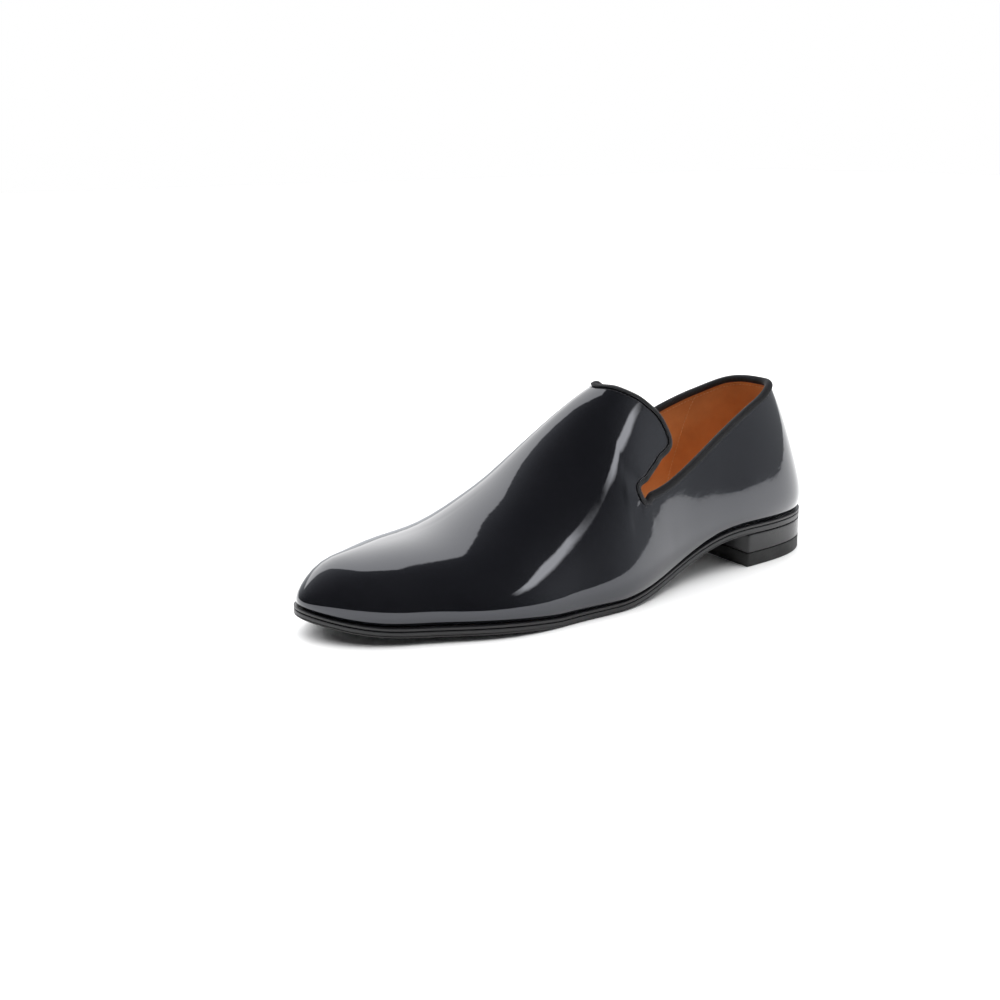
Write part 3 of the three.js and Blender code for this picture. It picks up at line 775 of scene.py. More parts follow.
class Effects:
    """The shader node groups that several finishes share."""

    def __init__(self) -> None:
        """Builds each group once."""
        self.grain = self.make_grain()
        self.wear = self.make_wear()

    @staticmethod
    def start(name: str, inputs: tuple, outputs: tuple) -> bpy.types.NodeTree:
        """Returns an empty group with named sockets.

        Args:
            name: The group's name.
            inputs: Name, socket type and first value of each input.
            outputs: Name and socket type of each output.

        Returns:
            The group's node tree.
        """
        tree = bpy.data.node_groups.new(name, "ShaderNodeTree")
        for label, kind, value in inputs:
            socket = tree.interface.new_socket(label, in_out="INPUT", socket_type=kind)
            if value is not None:
                socket.default_value = value
        for label, kind in outputs:
            tree.interface.new_socket(label, in_out="OUTPUT", socket_type=kind)
        return tree

    def make_grain(self) -> bpy.types.NodeTree:
        """Returns the grain of leather: pores, cells and slow waves, as one height."""
        number = "NodeSocketFloat"
        inputs = (
            ("Vector", "NodeSocketVector", None),
            ("Pore Scale", number, 900.0),
            ("Wave Scale", number, 120.0),
            ("Pore Share", number, 0.5),
        )
        tree = self.start("leather_grain", inputs, (("Height", number),))
        nodes, links = tree.nodes, tree.links
        source, out = nodes.new("NodeGroupInput"), nodes.new("NodeGroupOutput")
        cells = nodes.new("ShaderNodeTexVoronoi")
        cells.feature = "SMOOTH_F1"
        cells.inputs["Smoothness"].default_value = 0.6
        waves = nodes.new("ShaderNodeTexNoise")
        waves.inputs["Detail"].default_value = 3.0
        for node, scale in ((cells, "Pore Scale"), (waves, "Wave Scale")):
            links.new(source.outputs["Vector"], node.inputs["Vector"])
            links.new(source.outputs[scale], node.inputs["Scale"])
        blend = nodes.new("ShaderNodeMix")
        links.new(source.outputs["Pore Share"], blend.inputs[0])
        links.new(waves.outputs["Fac"], blend.inputs[2])
        links.new(cells.outputs["Distance"], blend.inputs[3])
        links.new(blend.outputs[0], out.inputs["Height"])
        return tree

    def make_wear(self) -> bpy.types.NodeTree:
        """Returns handling marks: a patchy change of colour and of gloss."""
        number, colour = "NodeSocketFloat", "NodeSocketColor"
        inputs = (
            ("Vector", "NodeSocketVector", None),
            ("Colour", colour, (0.5, 0.5, 0.5, 1.0)),
            ("Marked Colour", colour, (0.4, 0.4, 0.4, 1.0)),
            ("Patch Scale", number, 40.0),
            ("Gloss", number, 0.3),
            ("Marked Gloss", number, 0.4),
        )
        tree = self.start("handling_marks", inputs, (("Colour", colour), ("Roughness", number)))
        nodes, links = tree.nodes, tree.links
        source, out = nodes.new("NodeGroupInput"), nodes.new("NodeGroupOutput")
        patches = nodes.new("ShaderNodeTexNoise")
        patches.inputs["Detail"].default_value = 5.0
        patches.inputs["Roughness"].default_value = 0.6
        links.new(source.outputs["Vector"], patches.inputs["Vector"])
        links.new(source.outputs["Patch Scale"], patches.inputs["Scale"])
        ramp = nodes.new("ShaderNodeMapRange")
        ramp.inputs["From Min"].default_value = 0.38
        ramp.inputs["From Max"].default_value = 0.66
        links.new(patches.outputs["Fac"], ramp.inputs["Value"])
        shade = nodes.new("ShaderNodeMix")
        shade.data_type = "RGBA"
        links.new(ramp.outputs[0], shade.inputs[0])
        links.new(source.outputs["Colour"], shade.inputs[6])
        links.new(source.outputs["Marked Colour"], shade.inputs[7])
        gloss = nodes.new("ShaderNodeMix")
        links.new(ramp.outputs[0], gloss.inputs[0])
        links.new(source.outputs["Gloss"], gloss.inputs[2])
        links.new(source.outputs["Marked Gloss"], gloss.inputs[3])
        links.new(shade.outputs[2], out.inputs["Colour"])
        links.new(gloss.outputs[0], out.inputs["Roughness"])
        return tree


@dataclass(frozen=True)
class PatentLeather:
    """Black patent leather: a clear film over smooth calf, with a faint orange peel."""

    colour: tuple = (0.0045, 0.0047, 0.0062, 1.0)
    marked: tuple = (0.006, 0.0062, 0.0078, 1.0)
    film_gloss: float = 0.045
    worn_gloss: float = 0.075
    peel: float = 0.00003

    def build(self, effects: Effects) -> bpy.types.Material:
        """Returns the material."""
        paint = Paint("patent_leather").set(
            IOR=1.55, Specular_Tint=(0.86, 0.89, 1.0, 1.0),
            Coat_Weight=0.6, Coat_Roughness=0.03, Coat_IOR=1.5,
        )
        marks = paint.group(
            effects.wear, Colour=self.colour, Marked_Colour=self.marked,
            Patch_Scale=30.0, Gloss=self.film_gloss, Marked_Gloss=self.worn_gloss,
        )
        paint.feed("Base Color", marks.outputs["Colour"])
        paint.feed("Roughness", marks.outputs["Roughness"])
        peel = paint.group(effects.grain, Pore_Scale=420.0, Wave_Scale=150.0, Pore_Share=0.25)
        paint.bump(peel.outputs["Height"], self.peel)
        return paint.material


@dataclass(frozen=True)
class Leather:
    """A plain leather: tan lining, waxed black sole or painted edge."""

    name: str
    colour: tuple
    marked: tuple
    gloss: float
    marked_gloss: float
    patch: float = 45.0
    pores: float = 1300.0
    depth: float = 0.00006

    def build(self, effects: Effects) -> bpy.types.Material:
        """Returns the material."""
        paint = Paint(self.name)
        marks = paint.group(
            effects.wear, Colour=self.colour, Marked_Colour=self.marked,
            Patch_Scale=self.patch, Gloss=self.gloss, Marked_Gloss=self.marked_gloss,
        )
        paint.feed("Base Color", marks.outputs["Colour"])
        paint.feed("Roughness", marks.outputs["Roughness"])
        grain = paint.group(effects.grain, Pore_Scale=self.pores, Wave_Scale=260.0, Pore_Share=0.55)
        paint.bump(grain.outputs["Height"], self.depth)
        return paint.material


@dataclass(frozen=True)
class Ribbon:
    """Black grosgrain: a dull cross-ribbed weave with a soft sheen."""

    colour: tuple = (0.006, 0.006, 0.0075, 1.0)
    marked: tuple = (0.010, 0.010, 0.012, 1.0)
    threads: float = 2600.0

    def build(self, effects: Effects) -> bpy.types.Material:
        """Returns the material."""
        paint = Paint("ribbon_grosgrain").set(
            Sheen_Weight=0.25, Sheen_Roughness=0.4, Specular_IOR_Level=0.35
        )
        marks = paint.group(
            effects.wear, Colour=self.colour, Marked_Colour=self.marked,
            Patch_Scale=220.0, Gloss=0.55, Marked_Gloss=0.7,
        )
        paint.feed("Base Color", marks.outputs["Colour"])
        paint.feed("Roughness", marks.outputs["Roughness"])
        grain = paint.group(effects.grain, Pore_Scale=self.threads, Wave_Scale=1500.0, Pore_Share=0.7)
        paint.bump(grain.outputs["Height"], 0.00005)
        return paint.material


@dataclass(frozen=True)
class Thread:
    """Sewing thread with its twist."""

    name: str
    colour: tuple
    marked: tuple

    def build(self, effects: Effects) -> bpy.types.Material:
        """Returns the material."""
        paint = Paint(self.name).set(Specular_IOR_Level=0.4, Sheen_Weight=0.15)
        marks = paint.group(
            effects.wear, Colour=self.colour, Marked_Colour=self.marked,
            Patch_Scale=900.0, Gloss=0.45, Marked_Gloss=0.6,
        )
        paint.feed("Base Color", marks.outputs["Colour"])
        paint.feed("Roughness", marks.outputs["Roughness"])
        grain = paint.group(effects.grain, Pore_Scale=4200.0, Wave_Scale=2500.0, Pore_Share=0.5)
        paint.bump(grain.outputs["Height"], 0.00004)
        return paint.material


class Wardrobe:
    """Every finish of the shoe, built once."""

    def __init__(self) -> None:
        """Builds the materials."""
        fx = Effects()
        self.patent = PatentLeather().build(fx)
        self.ribbon = Ribbon().build(fx)
        self.lining = Leather(
            "tan_lining", colour=(0.6, 0.29, 0.115, 1), marked=(0.51, 0.23, 0.085, 1),
            gloss=0.5, marked_gloss=0.62,
        ).build(fx)
        self.sock = Leather(
            "tan_insole", colour=(0.8, 0.37, 0.12, 1), marked=(0.7, 0.3, 0.09, 1),
            gloss=0.45, marked_gloss=0.58,
        ).build(fx)
        self.edge = Leather(
            "black_welt_edge", colour=(0.005, 0.005, 0.006, 1), marked=(0.009, 0.009, 0.010, 1),
            gloss=0.32, marked_gloss=0.45, patch=90.0,
        ).build(fx)
        self.sole = Leather(
            "black_sole", colour=(0.008, 0.008, 0.009, 1), marked=(0.016, 0.016, 0.017, 1),
            gloss=0.3, marked_gloss=0.45, patch=60.0,
        ).build(fx)
        self.heel = Leather(
            "black_heel", colour=(0.005, 0.005, 0.006, 1), marked=(0.009, 0.009, 0.0105, 1),
            gloss=0.26, marked_gloss=0.4, patch=70.0,
        ).build(fx)
        self.rubber = Leather(
            "black_rubber", colour=(0.005, 0.005, 0.005, 1), marked=(0.009, 0.009, 0.009, 1),
            gloss=0.55, marked_gloss=0.7, patch=110.0, pores=700.0, depth=0.00008,
        ).build(fx)
        self.black_thread = Thread(
            "black_thread", colour=(0.02, 0.02, 0.023, 1), marked=(0.035, 0.035, 0.038, 1)
        ).build(fx)
        self.tan_thread = Thread(
            "tan_thread", colour=(0.75, 0.5, 0.28, 1), marked=(0.62, 0.38, 0.2, 1)
        ).build(fx)


def dress(
    obj: bpy.types.Object, material: bpy.types.Material, finish: Finish, *nodes: str
) -> bpy.types.Object:
    """Gives a finished piece its material and body, and hides the CAD nodes that it replaces.

    Args:
        obj: The piece.
        material: Its material.
        finish: The record's slot; not used.
        nodes: CAD nodes that it replaces.

    Returns:
        The piece.
    """
    if not any(m is material for m in obj.data.materials):
        obj.data.materials.append(material)
    if nodes:
        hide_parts(*nodes)
    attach(obj, "root")
    LOG.info("%s: %d faces", obj.name, len(obj.data.polygons))
    return obj


# The upper


@dataclass(frozen=True)
class Fold:
    """One soft fold of the leather, a low ridge or valley along a line of the layout."""

    start: tuple[float, float]
    end: tuple[float, float]
    width: float
    height: float


@dataclass
class Relief:
    """The main creases and the slight unevenness of the pulled leather, in millimetres."""

    ripple: float = 0.035
    long_waves: tuple[float, float] = (8.3, 6.1)
    short_waves: tuple[float, float] = (4.9, 5.3)
    short_share: float = 0.8
    folds: tuple[Fold, ...] = (
        Fold((137.5, 22.5), (145.5, 22.0), 1.5, 0.34),
        Fold((138.0, 24.0), (144.0, 26.0), 1.3, -0.26),
        Fold((137.5, 20.6), (144.5, 18.6), 1.5, -0.24),
        Fold((146.0, 21.6), (156.0, 20.4), 3.0, 0.16),
        Fold((128.0, 25.4), (118.0, 27.5), 3.4, -0.14),
        Fold((137.5, -22.5), (145.5, -22.0), 1.5, 0.30),
        Fold((138.0, -24.2), (144.0, -26.0), 1.3, -0.24),
        Fold((142.0, 13.0), (176.0, 16.0), 7.0, -0.22),
        Fold((150.0, 26.0), (186.0, 30.0), 7.5, 0.20),
        Fold((168.0, 8.0), (204.0, 15.0), 6.5, 0.14),
    )

    def height(self, p: np.ndarray) -> np.ndarray:
        """Returns how far the leather stands off the last over places of the layout."""
        x, y = p[..., 0], p[..., 1]
        (a, b), (c, d) = self.long_waves, self.short_waves
        total = np.sin(x / a + 0.6) * np.cos(y / b + 0.3)
        total = self.ripple * (total + self.short_share * np.sin(x / c - y / d + 1.1))
        for fold in self.folds:
            start, run = np.array(fold.start), np.array(fold.end) - np.array(fold.start)
            along = np.clip(((p - start) @ run) / (run @ run), 0, 1)
            away = np.linalg.norm(p - start - along[..., None] * run, axis=-1)
            total = total + fold.height * np.exp(-((away / fold.width) ** 2))
        return total


@dataclass
class Upper:
    """The patent upper, its tan lining, the ribbon over its edge, and the stitching."""

    last: Last
    collar: Collar
    shapes: Shapes
    wall: float = 2.0
    leather: float = 1.15
    lining_gap: float = 0.05
    rim_drop: float = 0.35
    fade_height: float = 14.0
    ribbon_out: float = 0.9
    ribbon_top: float = 0.8
    ribbon_depth: float = 2.1
    ribbon_thickness: float = 0.5
    fold_drop: float = 1.1
    fold_steps: int = 15
    leg_steps: int = 4
    rib_pitch: float = 0.85
    points_per_rib: int = 4
    rib_height: float = 0.2
    rib_at_edge: float = 0.2
    rim_samples: int = 1200
    stitch_drop: float = 3.0
    lining_stitch_drop: float = 4.6
    stitch_pitch: float = 2.0
    stitch_size: tuple[float, float, float] = (1.35, 0.42, 0.34)
    stitch_lift: float = 0.04
    counter_seam_top: float = 49.5
    counter_seam_slant: float = 7.0
    counter_seam_foot: float = 31.6
    counter_seam_bend: float = 0.7
    counter_seam_rise: dict[Side, float] = field(
        default_factory=lambda: {Side.OUTER: 21.6, Side.INNER: 18.0}
    )
    relief: Relief = field(default_factory=Relief)

    def __post_init__(self) -> None:
        """Works out the wall once for every layer."""
        self.places = self.collar.wall()
        self.skin = self.last.over(self.places)
        self.out = self.last.facing(self.places)

    def fade(self) -> np.ndarray:
        """Returns 0 at the feather line to 1 a little above it, for each point."""
        rise = np.linalg.norm(self.skin - self.skin[:, :1], axis=-1)
        return ease_in(rise / self.fade_height)

    def layer(self, depth: float) -> np.ndarray:
        """Returns the wall's points at a depth under its outside."""
        lift = self.relief.height(self.places) * self.fade()
        points = self.skin + self.out * (lift - depth)[..., None]
        if depth > 0:
            level = self.out[:, 0].copy()
            level[:, 2] = 0
            base = self.skin[:, 0] - unit(level) * depth
            base[:, 2] = self.last.seat(base[:, 0])
            points[:, 0] = base
        return points

    def shell(self, name: str, outer: float, inner: float) -> bpy.types.Object:
        """Returns a closed wall between two depths, with a soft edge at the rim.

        Args:
            name: The piece's name.
            outer: Depth of its outside.
            inner: Depth of its inside.

        Returns:
            The object.
        """
        a, b = self.layer(outer), self.layer(inner)
        down = unit(a[:, -1] - a[:, -2])
        for layer in (a, b):
            layer[:, -1] -= down * self.rim_drop
        points, faces = self.shapes.tube(np.concatenate([a, b[:, ::-1]], 1))
        return self.shapes.mesh(name, points, faces)

    def build_leather(self) -> bpy.types.Object:
        """Returns the outer leather."""
        return self.shell("upper_patent", 0.0, self.leather)

    def build_lining(self) -> bpy.types.Object:
        """Returns the lining."""
        return self.shell("upper_lining", self.leather + self.lining_gap, self.wall)

    def fold(self, width: float, top: float) -> list[tuple[float, float]]:
        """Returns one face of the folded ribbon across the wall.

        Args:
            width: How far the face stands from the middle of the wall.
            top: How far its crest lies above the collar's edge.

        Returns:
            Out and up of each point, from the outer leg to the inner leg.
        """
        middle, foot = -self.wall / 2, -self.fold_drop
        legs = np.linspace(-self.ribbon_depth, foot, self.leg_steps + 1)[:-1]
        start = [(middle + width, z) for z in legs]
        crest = [
            (middle + width * np.cos(t), foot + (top - foot) * np.sin(t))
            for t in np.linspace(0, np.pi, self.fold_steps)
        ]
        return start + crest + [(2 * middle - x, z) for x, z in reversed(start)]

    def build_ribbon(self, ribs: RibTree, material: bpy.types.Material) -> bpy.types.Object:
        """Returns the grosgrain ribbon folded over the collar's edge."""
        count = int(self.rim_length() / self.rib_pitch)
        rim = self.collar.rim(count * self.points_per_rib)
        edge, _, out, up = self.collar.frames(rim)
        edge = edge + out * self.relief.height(rim)[:, None]
        half = self.wall / 2 + self.ribbon_out
        outside = self.fold(half, self.ribbon_top)
        inside = self.fold(half - self.ribbon_thickness, self.ribbon_top - self.ribbon_thickness)
        profile = np.array(outside + inside[::-1])
        sections = (
            edge[:, None] + out[:, None] * profile[None, :, 0:1] + up[:, None] * profile[None, :, 1:2]
        )
        points, faces = self.shapes.tube(sections)
        obj = self.shapes.mesh("topline_ribbon", points, faces)
        run = np.repeat(np.arange(len(rim)) / len(rim), len(profile))
        body = np.ones(len(profile))
        body[len(outside):] = 0.0
        body[[0, len(outside) - 1]] = self.rib_at_edge
        spread(obj, "run", run)
        spread(obj, "body", np.tile(body, len(rim)))
        values = {"Ribs": float(count), "Rib Height": self.rib_height / 1000, "Material": material}
        return run_tree(obj, ribs.tree, values)

    def rim_length(self) -> float:
        """Returns the length of the collar's edge."""
        edge = self.last.over(self.collar.rim(self.rim_samples))
        return float(np.linalg.norm(np.roll(edge, -1, 0) - edge, axis=1).sum())

    def stitch_row(
        self, name: str, places: np.ndarray, depth: float, tree: StitchTree,
        material: bpy.types.Material,
    ) -> bpy.types.Object:
        """Returns a row of stitches along places of the layout.

        Args:
            name: The piece's name.
            places: The row's places, one for each stitch.
            depth: How far under the outside the stitches lie.
            tree: The node tree that lays them.
            material: The thread.

        Returns:
            The object.
        """
        out = self.last.facing(places)
        points = self.last.over(places)
        points = points + out * (self.relief.height(places) - depth)[:, None]
        along = unit(np.gradient(points, axis=0))
        data = bpy.data.meshes.new(name)
        data.from_pydata(self.last.row_frame(points).tolist(), [], [])
        obj = place(name, data)
        spread_vectors(obj, "along", along)
        spread_vectors(obj, "out", out)
        names = ("Length", "Width", "Height")
        values: dict[str, object] = {n: s / 1000 for n, s in zip(names, self.stitch_size)}
        values["Material"] = material
        return run_tree(obj, tree.tree, values)

    def spaced(self, line: np.ndarray, depth: float) -> np.ndarray:
        """Returns places a stitch apart along an open line of the layout.

        Args:
            line: Places along the line.
            depth: How far under the outside the line lies.

        Returns:
            The places.
        """
        points = self.last.over(line) - self.last.facing(line) * depth
        steps = np.linalg.norm(np.diff(points, axis=0), axis=1)
        run = np.concatenate([[0], np.cumsum(steps)])
        at = np.arange(0.5, run[-1] / self.stitch_pitch) * self.stitch_pitch
        return np.stack([np.interp(at, run, line[:, k]) for k in range(2)], -1)

    def counter_seam(self, side: Side) -> np.ndarray:
        """Returns the lining's seam in front of the heel counter, top to bottom."""
        share = np.linspace(0, 1, 60)
        top = self.counter_seam_rise[side]
        x = self.counter_seam_top + self.counter_seam_slant * share**self.counter_seam_bend
        y = top + (self.counter_seam_foot - top) * share
        return np.stack([x, side.value * y], -1)

    def build_stitches(self, tree: StitchTree, wardrobe: Wardrobe) -> list[bpy.types.Object]:
        """Returns the rows of stitches below the ribbon and down the lining."""
        rim = self.collar.rim(int(self.rim_length() / self.stitch_pitch))
        outside, inside = -self.stitch_lift, self.wall + self.stitch_lift
        black, tan = wardrobe.black_thread, wardrobe.tan_thread
        below = self.collar.below
        rows = [
            ("collar_stitches", below(rim, self.stitch_drop), outside, black),
            ("lining_stitches", below(rim, self.lining_stitch_drop), inside, tan),
        ]
        for side in Side:
            seam = self.spaced(self.counter_seam(side), inside)
            rows.append((f"counter_stitches_{side.name.lower()}", seam, inside, tan))
        return [self.stitch_row(name, row, depth, tree, thread) for name, row, depth, thread in rows]

    def dress(self, wardrobe: Wardrobe) -> None:
        """Builds and finishes every piece of the upper."""
        leather = self.build_leather()
        lining = self.build_lining()
        dress(leather, wardrobe.patent, Finish.PATENT, "upper")
        dress(lining, wardrobe.lining, Finish.TAN, "upper")
        ribbon = self.build_ribbon(RibTree(), wardrobe.ribbon)
        dress(ribbon, wardrobe.ribbon, Finish.RIBBON, "topline_binding")
        outside, *inside = self.build_stitches(StitchTree(), wardrobe)
        dress(outside, wardrobe.black_thread, Finish.PATENT)
        for row in inside:
            dress(row, wardrobe.tan_thread, Finish.TAN)


# The bottom


@dataclass
class Bottom:
    """Insole, welt, outsole, heel block and top lift."""

    last: Last
    collar: Collar
    shapes: Shapes
    wall: float = 2.0
    gap: float = 0.3
    insole_thickness: float = 3.0
    welt_thickness: float = 1.5
    welt_depth: float = 8.0
    sole_thickness: float = 3.0
    groove: float = 0.3
    heel_length: float = 59.0
    lift_height: float = 7.4
    heel_steps: int = 90
    breast_corner: float = 0.3
    breast_ease: float = 1.2
    groove_lead: float = 8.0
    groove_ease: float = 22.0
    halvings: int = 40
    fine: int = 5

    @staticmethod
    def flat(height: float) -> Profile:
        """Returns a profile that is the same all along."""
        return lambda x: np.full_like(x, height)

    def over_seat(self, height: float) -> Profile:
        """Returns a level at a height over the feather line."""
        return lambda x: self.last.seat(x) + height

    def over_tread(self, height: float) -> Profile:
        """Returns a level at a height over the sole's underside."""
        return lambda x: self.last.tread(x) + height

    def groove_front(self, share: np.ndarray) -> np.ndarray:
        """Returns how deep the groove is, from 0 over the heel to 1 in front of it."""
        past = share * self.last.span - self.heel_length + self.groove_lead
        return np.clip(past / self.groove_ease, 0, 1)

    def edge(self, out: float, depth: Profile | None = None) -> Profile:
        """Returns the sole's edge moved outward.

        Args:
            out: How far, in millimetres.
            depth: How much of that applies, by the share of the length.

        Returns:
            The distance from the feather line.
        """
        if depth is None:
            return lambda share: self.last.reveal(share) + out
        return lambda share: self.last.reveal(share) + out * depth(share)

    def loop(self, distance: Profile, level: Profile) -> np.ndarray:
        """Returns the outline moved outward by a distance, at a level.

        Args:
            distance: How far out, by the share of the length.
            level: The height, by x.

        Returns:
            The loop's points.
        """
        turn, side = split_round(self.collar.rounds(self.fine))
        share = self.last.share(self.last.outline(turn, side)[:, 0])
        p = self.last.offset(turn, side, distance(share))
        return np.concatenate([p, level(p[:, 0])[:, None]], 1)

    def heel_loop(self, inset: float, level: Profile) -> np.ndarray:
        """Returns the outline from the heel back to the straight breast.

        Args:
            inset: How far inside the sole's edge it lies.
            level: The height, by x.

        Returns:
            The loop's points, up the outer side and back down the inner side.
        """
        last = self.last
        breast = self.heel_length - inset
        halves = []
        for side in (Side.OUTER, Side.INNER):
            sign = np.array(float(side.value))
            low, high = 0.0, 0.6
            for _ in range(self.halvings):
                turn = np.array((low + high) / 2)
                share = last.share(last.outline(turn, sign)[0])
                x = last.offset(turn, sign, last.reveal(share) - inset)[0]
                low, high = (float(turn), high) if x < breast else (low, float(turn))
            turns = low * np.arange(self.heel_steps + 1) / self.heel_steps
            sides = np.full_like(turns, float(sign))
            share = last.share(last.outline(turns, sides)[:, 0])
            p = last.offset(turns, sides, last.reveal(share) - inset)
            ease = np.clip((p[:, 0] - (breast - self.breast_ease)) / self.breast_ease, 0, 1)
            p[:, 1] -= side.value * self.breast_corner * ease**2
            halves.append(np.concatenate([p, level(p[:, 0])[:, None]], 1))
        return np.concatenate([halves[0], halves[1][1:][::-1]])

    def build_insole(self) -> bpy.types.Object:
        """Returns the insole with its leather sock, softly rounded at the edge."""
        inset = self.wall + 0.1
        rings = [(0.0, 0.0), (0.0, 2.2), (0.25, 2.7), (0.8, 2.95), (1.6, self.insole_thickness)]
        loops = [self.loop(self.flat(-inset - d), self.over_seat(h)) for d, h in rings]
        points, faces = self.shapes.stack(loops)
        return self.shapes.mesh("insole_sock", points, faces)

    def build_welt(self) -> bpy.types.Object:
        """Returns the welt strip round the shoe."""
        top = self.last.stack - self.gap
        low = top - self.welt_thickness
        rings = [
            (0.0, low + 0.25), (-0.25, low), (None, low), (None, top), (-0.3, top),
            (-0.08, top - 0.1), (0.0, top - 0.3),
        ]
        loops = []
        for inset, height in rings:
            edge = self.flat(-self.welt_depth) if inset is None else self.edge(inset)
            loops.append(self.loop(edge, self.over_tread(height)))
        points, faces = self.shapes.tube(np.stack(loops, 1))
        return self.shapes.mesh("welt_strip", points, faces)

    def build_outsole(self) -> bpy.types.Object:
        """Returns the outsole, with rounded edges and the groove round its side."""
        g = self.groove
        rings = [
            (0.75, 0.0), (0.42, 0.08), (0.18, 0.26), (0.04, 0.5), (0.0, 0.72), (0.06, 0.84),
            (g, 0.96), (g, 1.1), (0.06, 1.22), (0.0, 1.34), (0.0, 2.0), (0.0, 2.75),
            (0.08, 2.92), (0.3, self.sole_thickness),
        ]
        loops = []
        for inset, height in rings:
            in_groove = 0.8 < height < 1.25
            edge = self.edge(-inset, self.groove_front if in_groove else None)
            loops.append(self.loop(edge, self.over_tread(height)))
        points, faces = self.shapes.stack(loops)
        return self.shapes.mesh("outsole_leather", points, faces)

    def build_heel(self) -> bpy.types.Object:
        """Returns the heel block."""
        base = self.lift_height + self.gap
        under = self.over_tread(-self.gap)

        def part_way(share: float) -> Profile:
            """Returns a level that is a share of the way up the block."""
            return lambda x: base + (under(x) - base) * share

        loops = [self.heel_loop(0.35, self.flat(base)), self.heel_loop(0.08, self.flat(base + 0.12))]
        loops += [self.heel_loop(0.0, part_way(share)) for share in np.linspace(0.04, 0.97, 9)]
        loops.append(self.heel_loop(0.12, under))
        points, faces = self.shapes.stack(loops)
        return self.shapes.mesh("heel_stack", points, faces)

    def build_lift(self) -> bpy.types.Object:
        """Returns the rubber top lift."""
        rings = [(0.5, 0.0), (0.18, 0.12), (0.0, 0.45), (0.0, 3.6), (0.0, 7.1), (0.08, 7.3), (0.3, 7.4)]
        loops = [self.heel_loop(inset, self.flat(height)) for inset, height in rings]
        points, faces = self.shapes.stack(loops)
        return self.shapes.mesh("heel_lift", points, faces)

    def dress(self, wardrobe: Wardrobe) -> None:
        """Builds and finishes every piece of the bottom."""
        dress(self.build_insole(), wardrobe.sock, Finish.TAN, "insole")
        dress(self.build_welt(), wardrobe.edge, Finish.EDGE, "welt")
        dress(self.build_outsole(), wardrobe.sole, Finish.SOLE, "outsole")
        dress(self.build_heel(), wardrobe.heel, Finish.HEEL, "heel_block")
        dress(self.build_lift(), wardrobe.rubber, Finish.RUBBER, "top_lift")


# Floor, light and camera


@dataclass(frozen=True)
class SoftBox:
    """A soft panel overhead, by its corners as seen from the shoe.

    A corner is a share of the way from straight up to the horizon, to the camera's
    right and toward the camera.
    """

    name: str
    corners: tuple[tuple[float, float], ...]
    height: float
    strength: float
    softness: float = 0.12
    core: float = 0.9


@dataclass(frozen=True)
class Glow:
    """A soft bright patch of the room, by its direction in degrees."""

    azimuth: float
    elevation: float
    narrow: float
    strength: float


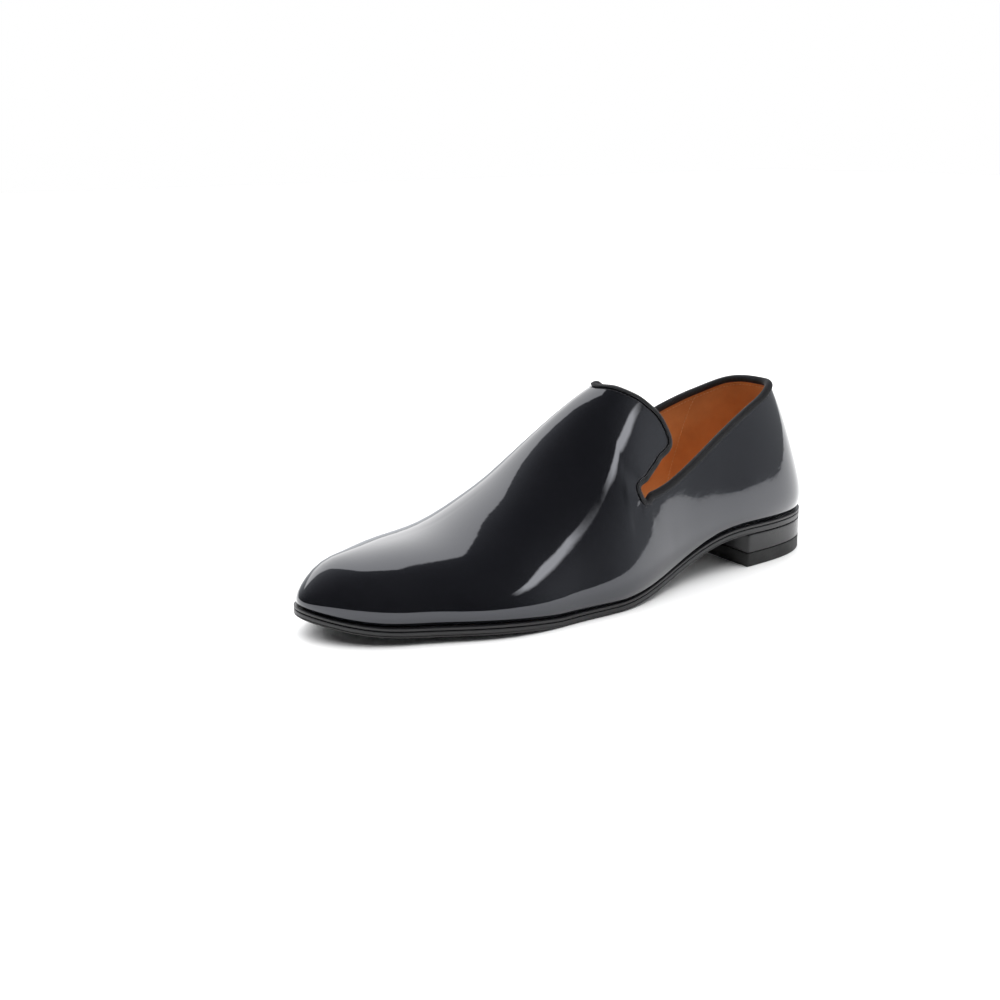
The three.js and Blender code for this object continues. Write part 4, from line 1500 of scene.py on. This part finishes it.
@dataclass
class Studio:
    """A pale floor, soft panels and the camera at the photograph's angle."""

    last: Last
    focal: float = 1332.17
    distance: float = 667.64
    azimuth: float = 56.926
    elevation: float = 15.484
    roll: float = -0.483
    aside: float = -35.705
    above: float = -1.179
    aim: tuple[float, float, float] = (150.0, 0.0, 45.0)
    sensor: float = 36.0
    picture: float = 1000.0
    floor_size: float = 5.0
    fill: float = 6.0
    fill_spread: float = 110.0
    fill_from: tuple[float, float, float] = (-0.1, -0.3, 1.0)
    room: float = 0.045
    room_colour: tuple[float, float, float, float] = (0.93, 0.96, 1.0, 1.0)
    boxes: tuple[SoftBox, ...] = (
        SoftBox(
            "back_softbox",
            ((-0.02, -0.04), (-0.16, -0.09), (-0.44, -0.27), (-0.72, -0.4), (-0.5, -0.72),
             (-0.08, -0.86), (-0.04, -0.36), (0.0, -0.28), (0.01, -0.15)),
            0.9, 2.3, 0.05,
        ),
        SoftBox(
            "side_softbox",
            ((0.55, 0.02), (0.62, 0.06), (0.62, 0.2), (0.53, 0.42), (0.45, 0.52), (0.38, 0.5),
             (0.45, 0.3), (0.5, 0.12)),
            0.8, 4.2, 0.45,
        ),
    )
    glows: tuple[Glow, ...] = (
        Glow(-123.0, 8.0, 3.0, 0.95),
        Glow(150.0, 14.0, 5.0, 0.5),
        Glow(-90.0, 35.0, 4.0, 0.35),
    )

    def build_camera(self) -> None:
        """Places the camera."""
        phi, theta, rho = (math.radians(a) for a in (self.azimuth, self.elevation, self.roll))
        back = Vector((math.cos(theta) * math.cos(phi), math.cos(theta) * math.sin(phi), math.sin(theta)))
        right = Vector((-math.sin(phi), math.cos(phi), 0.0))
        up = back.cross(right)
        across = right * math.cos(rho) + up * math.sin(rho)
        upward = up * math.cos(rho) - right * math.sin(rho)
        place = Vector(self.aim) + across * self.aside + upward * self.above + back * self.distance
        place = Vector(self.last.row_frame(np.array(place)).tolist())
        data = bpy.data.cameras.new("camera")
        data.sensor_fit = "HORIZONTAL"
        data.sensor_width = self.sensor
        data.lens = self.focal * self.sensor / self.picture
        data.clip_start = 0.02
        data.clip_end = 50.0
        camera = bpy.data.objects.new("camera", data)
        turn = Matrix((across, upward, back)).transposed().to_4x4()
        camera.matrix_world = Matrix.Translation(place) @ turn
        bpy.context.scene.collection.objects.link(camera)
        bpy.context.scene.camera = camera

    def build_floor(self) -> None:
        """Lays a pale floor."""
        data = bpy.data.meshes.new("floor")
        s = self.floor_size
        data.from_pydata([(-s, -s, 0), (s, -s, 0), (s, s, 0), (-s, s, 0)], [], [(0, 1, 2, 3)])
        paint = Paint("pale_floor").set(Roughness=0.6, Specular_IOR_Level=0.2)
        paint.set(Base_Color=(0.9, 0.9, 0.9, 1))
        data.materials.append(paint.material)
        place("floor", data)

    def build_box(self, box: SoftBox) -> None:
        """Hangs one soft panel, brightest inside and dim at its edge."""
        phi = math.radians(self.azimuth)
        right = np.array([-math.sin(phi), math.cos(phi)])
        toward = np.array([math.cos(phi), math.sin(phi)])
        corners = np.array(box.corners)
        middle = corners.mean(0)
        rings = []
        for inset in (0.0, box.softness * 0.5, box.softness, box.core):
            p = corners + (middle - corners) * inset
            far = np.linalg.norm(p, axis=1)
            reach = box.height * np.tan(far * math.pi / 2) / far
            plan = (p[:, :1] * right + p[:, 1:] * toward) * reach[:, None]
            rings.append(np.concatenate([plan, np.full((len(p), 1), box.height)], 1))
        n = len(corners)
        faces = [
            (k * n + i, k * n + (i + 1) % n, (k + 1) * n + (i + 1) % n, (k + 1) * n + i)
            for k in range(3)
            for i in range(n)
        ]
        faces.append(tuple(3 * n + i for i in range(n)))
        data = bpy.data.meshes.new(box.name)
        data.from_pydata(np.concatenate(rings).tolist(), [], faces)
        obj = place(box.name, data)
        spread(obj, "lit", np.repeat([0.0, 0.5, 1.0, 1.0], n))
        paint = Paint(box.name)
        glow = paint.nodes.new("ShaderNodeEmission")
        strength = paint.times(paint.attribute("lit"), box.strength)
        paint.links.new(strength, glow.inputs["Strength"])
        paint.links.new(glow.outputs[0], paint.nodes["Material Output"].inputs["Surface"])
        data.materials.append(paint.material)
        obj.visible_camera = False
        obj.visible_shadow = False

    def build_light(self) -> None:
        """Hangs the panels, adds a soft fill and sets the surroundings."""
        for box in self.boxes:
            self.build_box(box)
        data = bpy.data.lights.new("soft_fill", "SUN")
        data.energy = self.fill
        data.angle = math.radians(self.fill_spread)
        light = bpy.data.objects.new("soft_fill", data)
        light.rotation_euler = Vector(self.fill_from).to_track_quat("Z", "Y").to_euler()
        light.visible_glossy = False
        bpy.context.scene.collection.objects.link(light)
        bpy.context.scene.world = self.surroundings()
        bpy.context.scene.view_settings.view_transform = "Standard"

    def surroundings(self) -> bpy.types.World:
        """Returns a dim room with soft bright patches, and a white background to the eye."""
        world = bpy.data.worlds.new("surroundings")
        world.use_nodes = True
        tree = world.node_tree
        nodes, links = tree.nodes, tree.links
        sky = nodes.new("ShaderNodeTexCoord").outputs["Generated"]
        total: object = self.room
        for glow in self.glows:
            turn, tilt = math.radians(glow.azimuth), math.radians(glow.elevation)
            dot = nodes.new("ShaderNodeVectorMath")
            dot.operation = "DOT_PRODUCT"
            level = math.cos(tilt)
            dot.inputs[1].default_value = (
                level * math.cos(turn), level * math.sin(turn), math.sin(tilt)
            )
            links.new(sky, dot.inputs[0])
            value = dot.outputs["Value"]
            for kind, number in (("MAXIMUM", 0.0), ("POWER", glow.narrow), ("MULTIPLY", glow.strength)):
                value = maths(tree, kind, value, number)
            total = maths(tree, "ADD", value, total)
        room = nodes["Background"]
        room.inputs["Color"].default_value = self.room_colour
        links.new(total, room.inputs["Strength"])
        white = nodes.new("ShaderNodeBackground")
        white.inputs["Color"].default_value = (1.0, 1.0, 1.0, 1.0)
        sight = nodes.new("ShaderNodeLightPath")
        both = nodes.new("ShaderNodeMixShader")
        links.new(sight.outputs["Is Camera Ray"], both.inputs[0])
        links.new(room.outputs[0], both.inputs[1])
        links.new(white.outputs[0], both.inputs[2])
        links.new(both.outputs[0], nodes["World Output"].inputs["Surface"])
        return world

    def build(self) -> None:
        """Builds the floor, the light and the camera."""
        self.build_camera()
        self.build_floor()
        self.build_light()


def main() -> None:
    """Builds the shoe on its frame, piece by piece."""
    logging.basicConfig(level=logging.INFO, format="%(name)s %(message)s")
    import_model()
    last = Last()
    collar = Collar(last)
    shapes = Shapes(last)
    wardrobe = Wardrobe()
    Studio(last).build()
    Bottom(last, collar, shapes).dress(wardrobe)
    Upper(last, collar, shapes).dress(wardrobe)


if __name__ == "__main__":
    main()
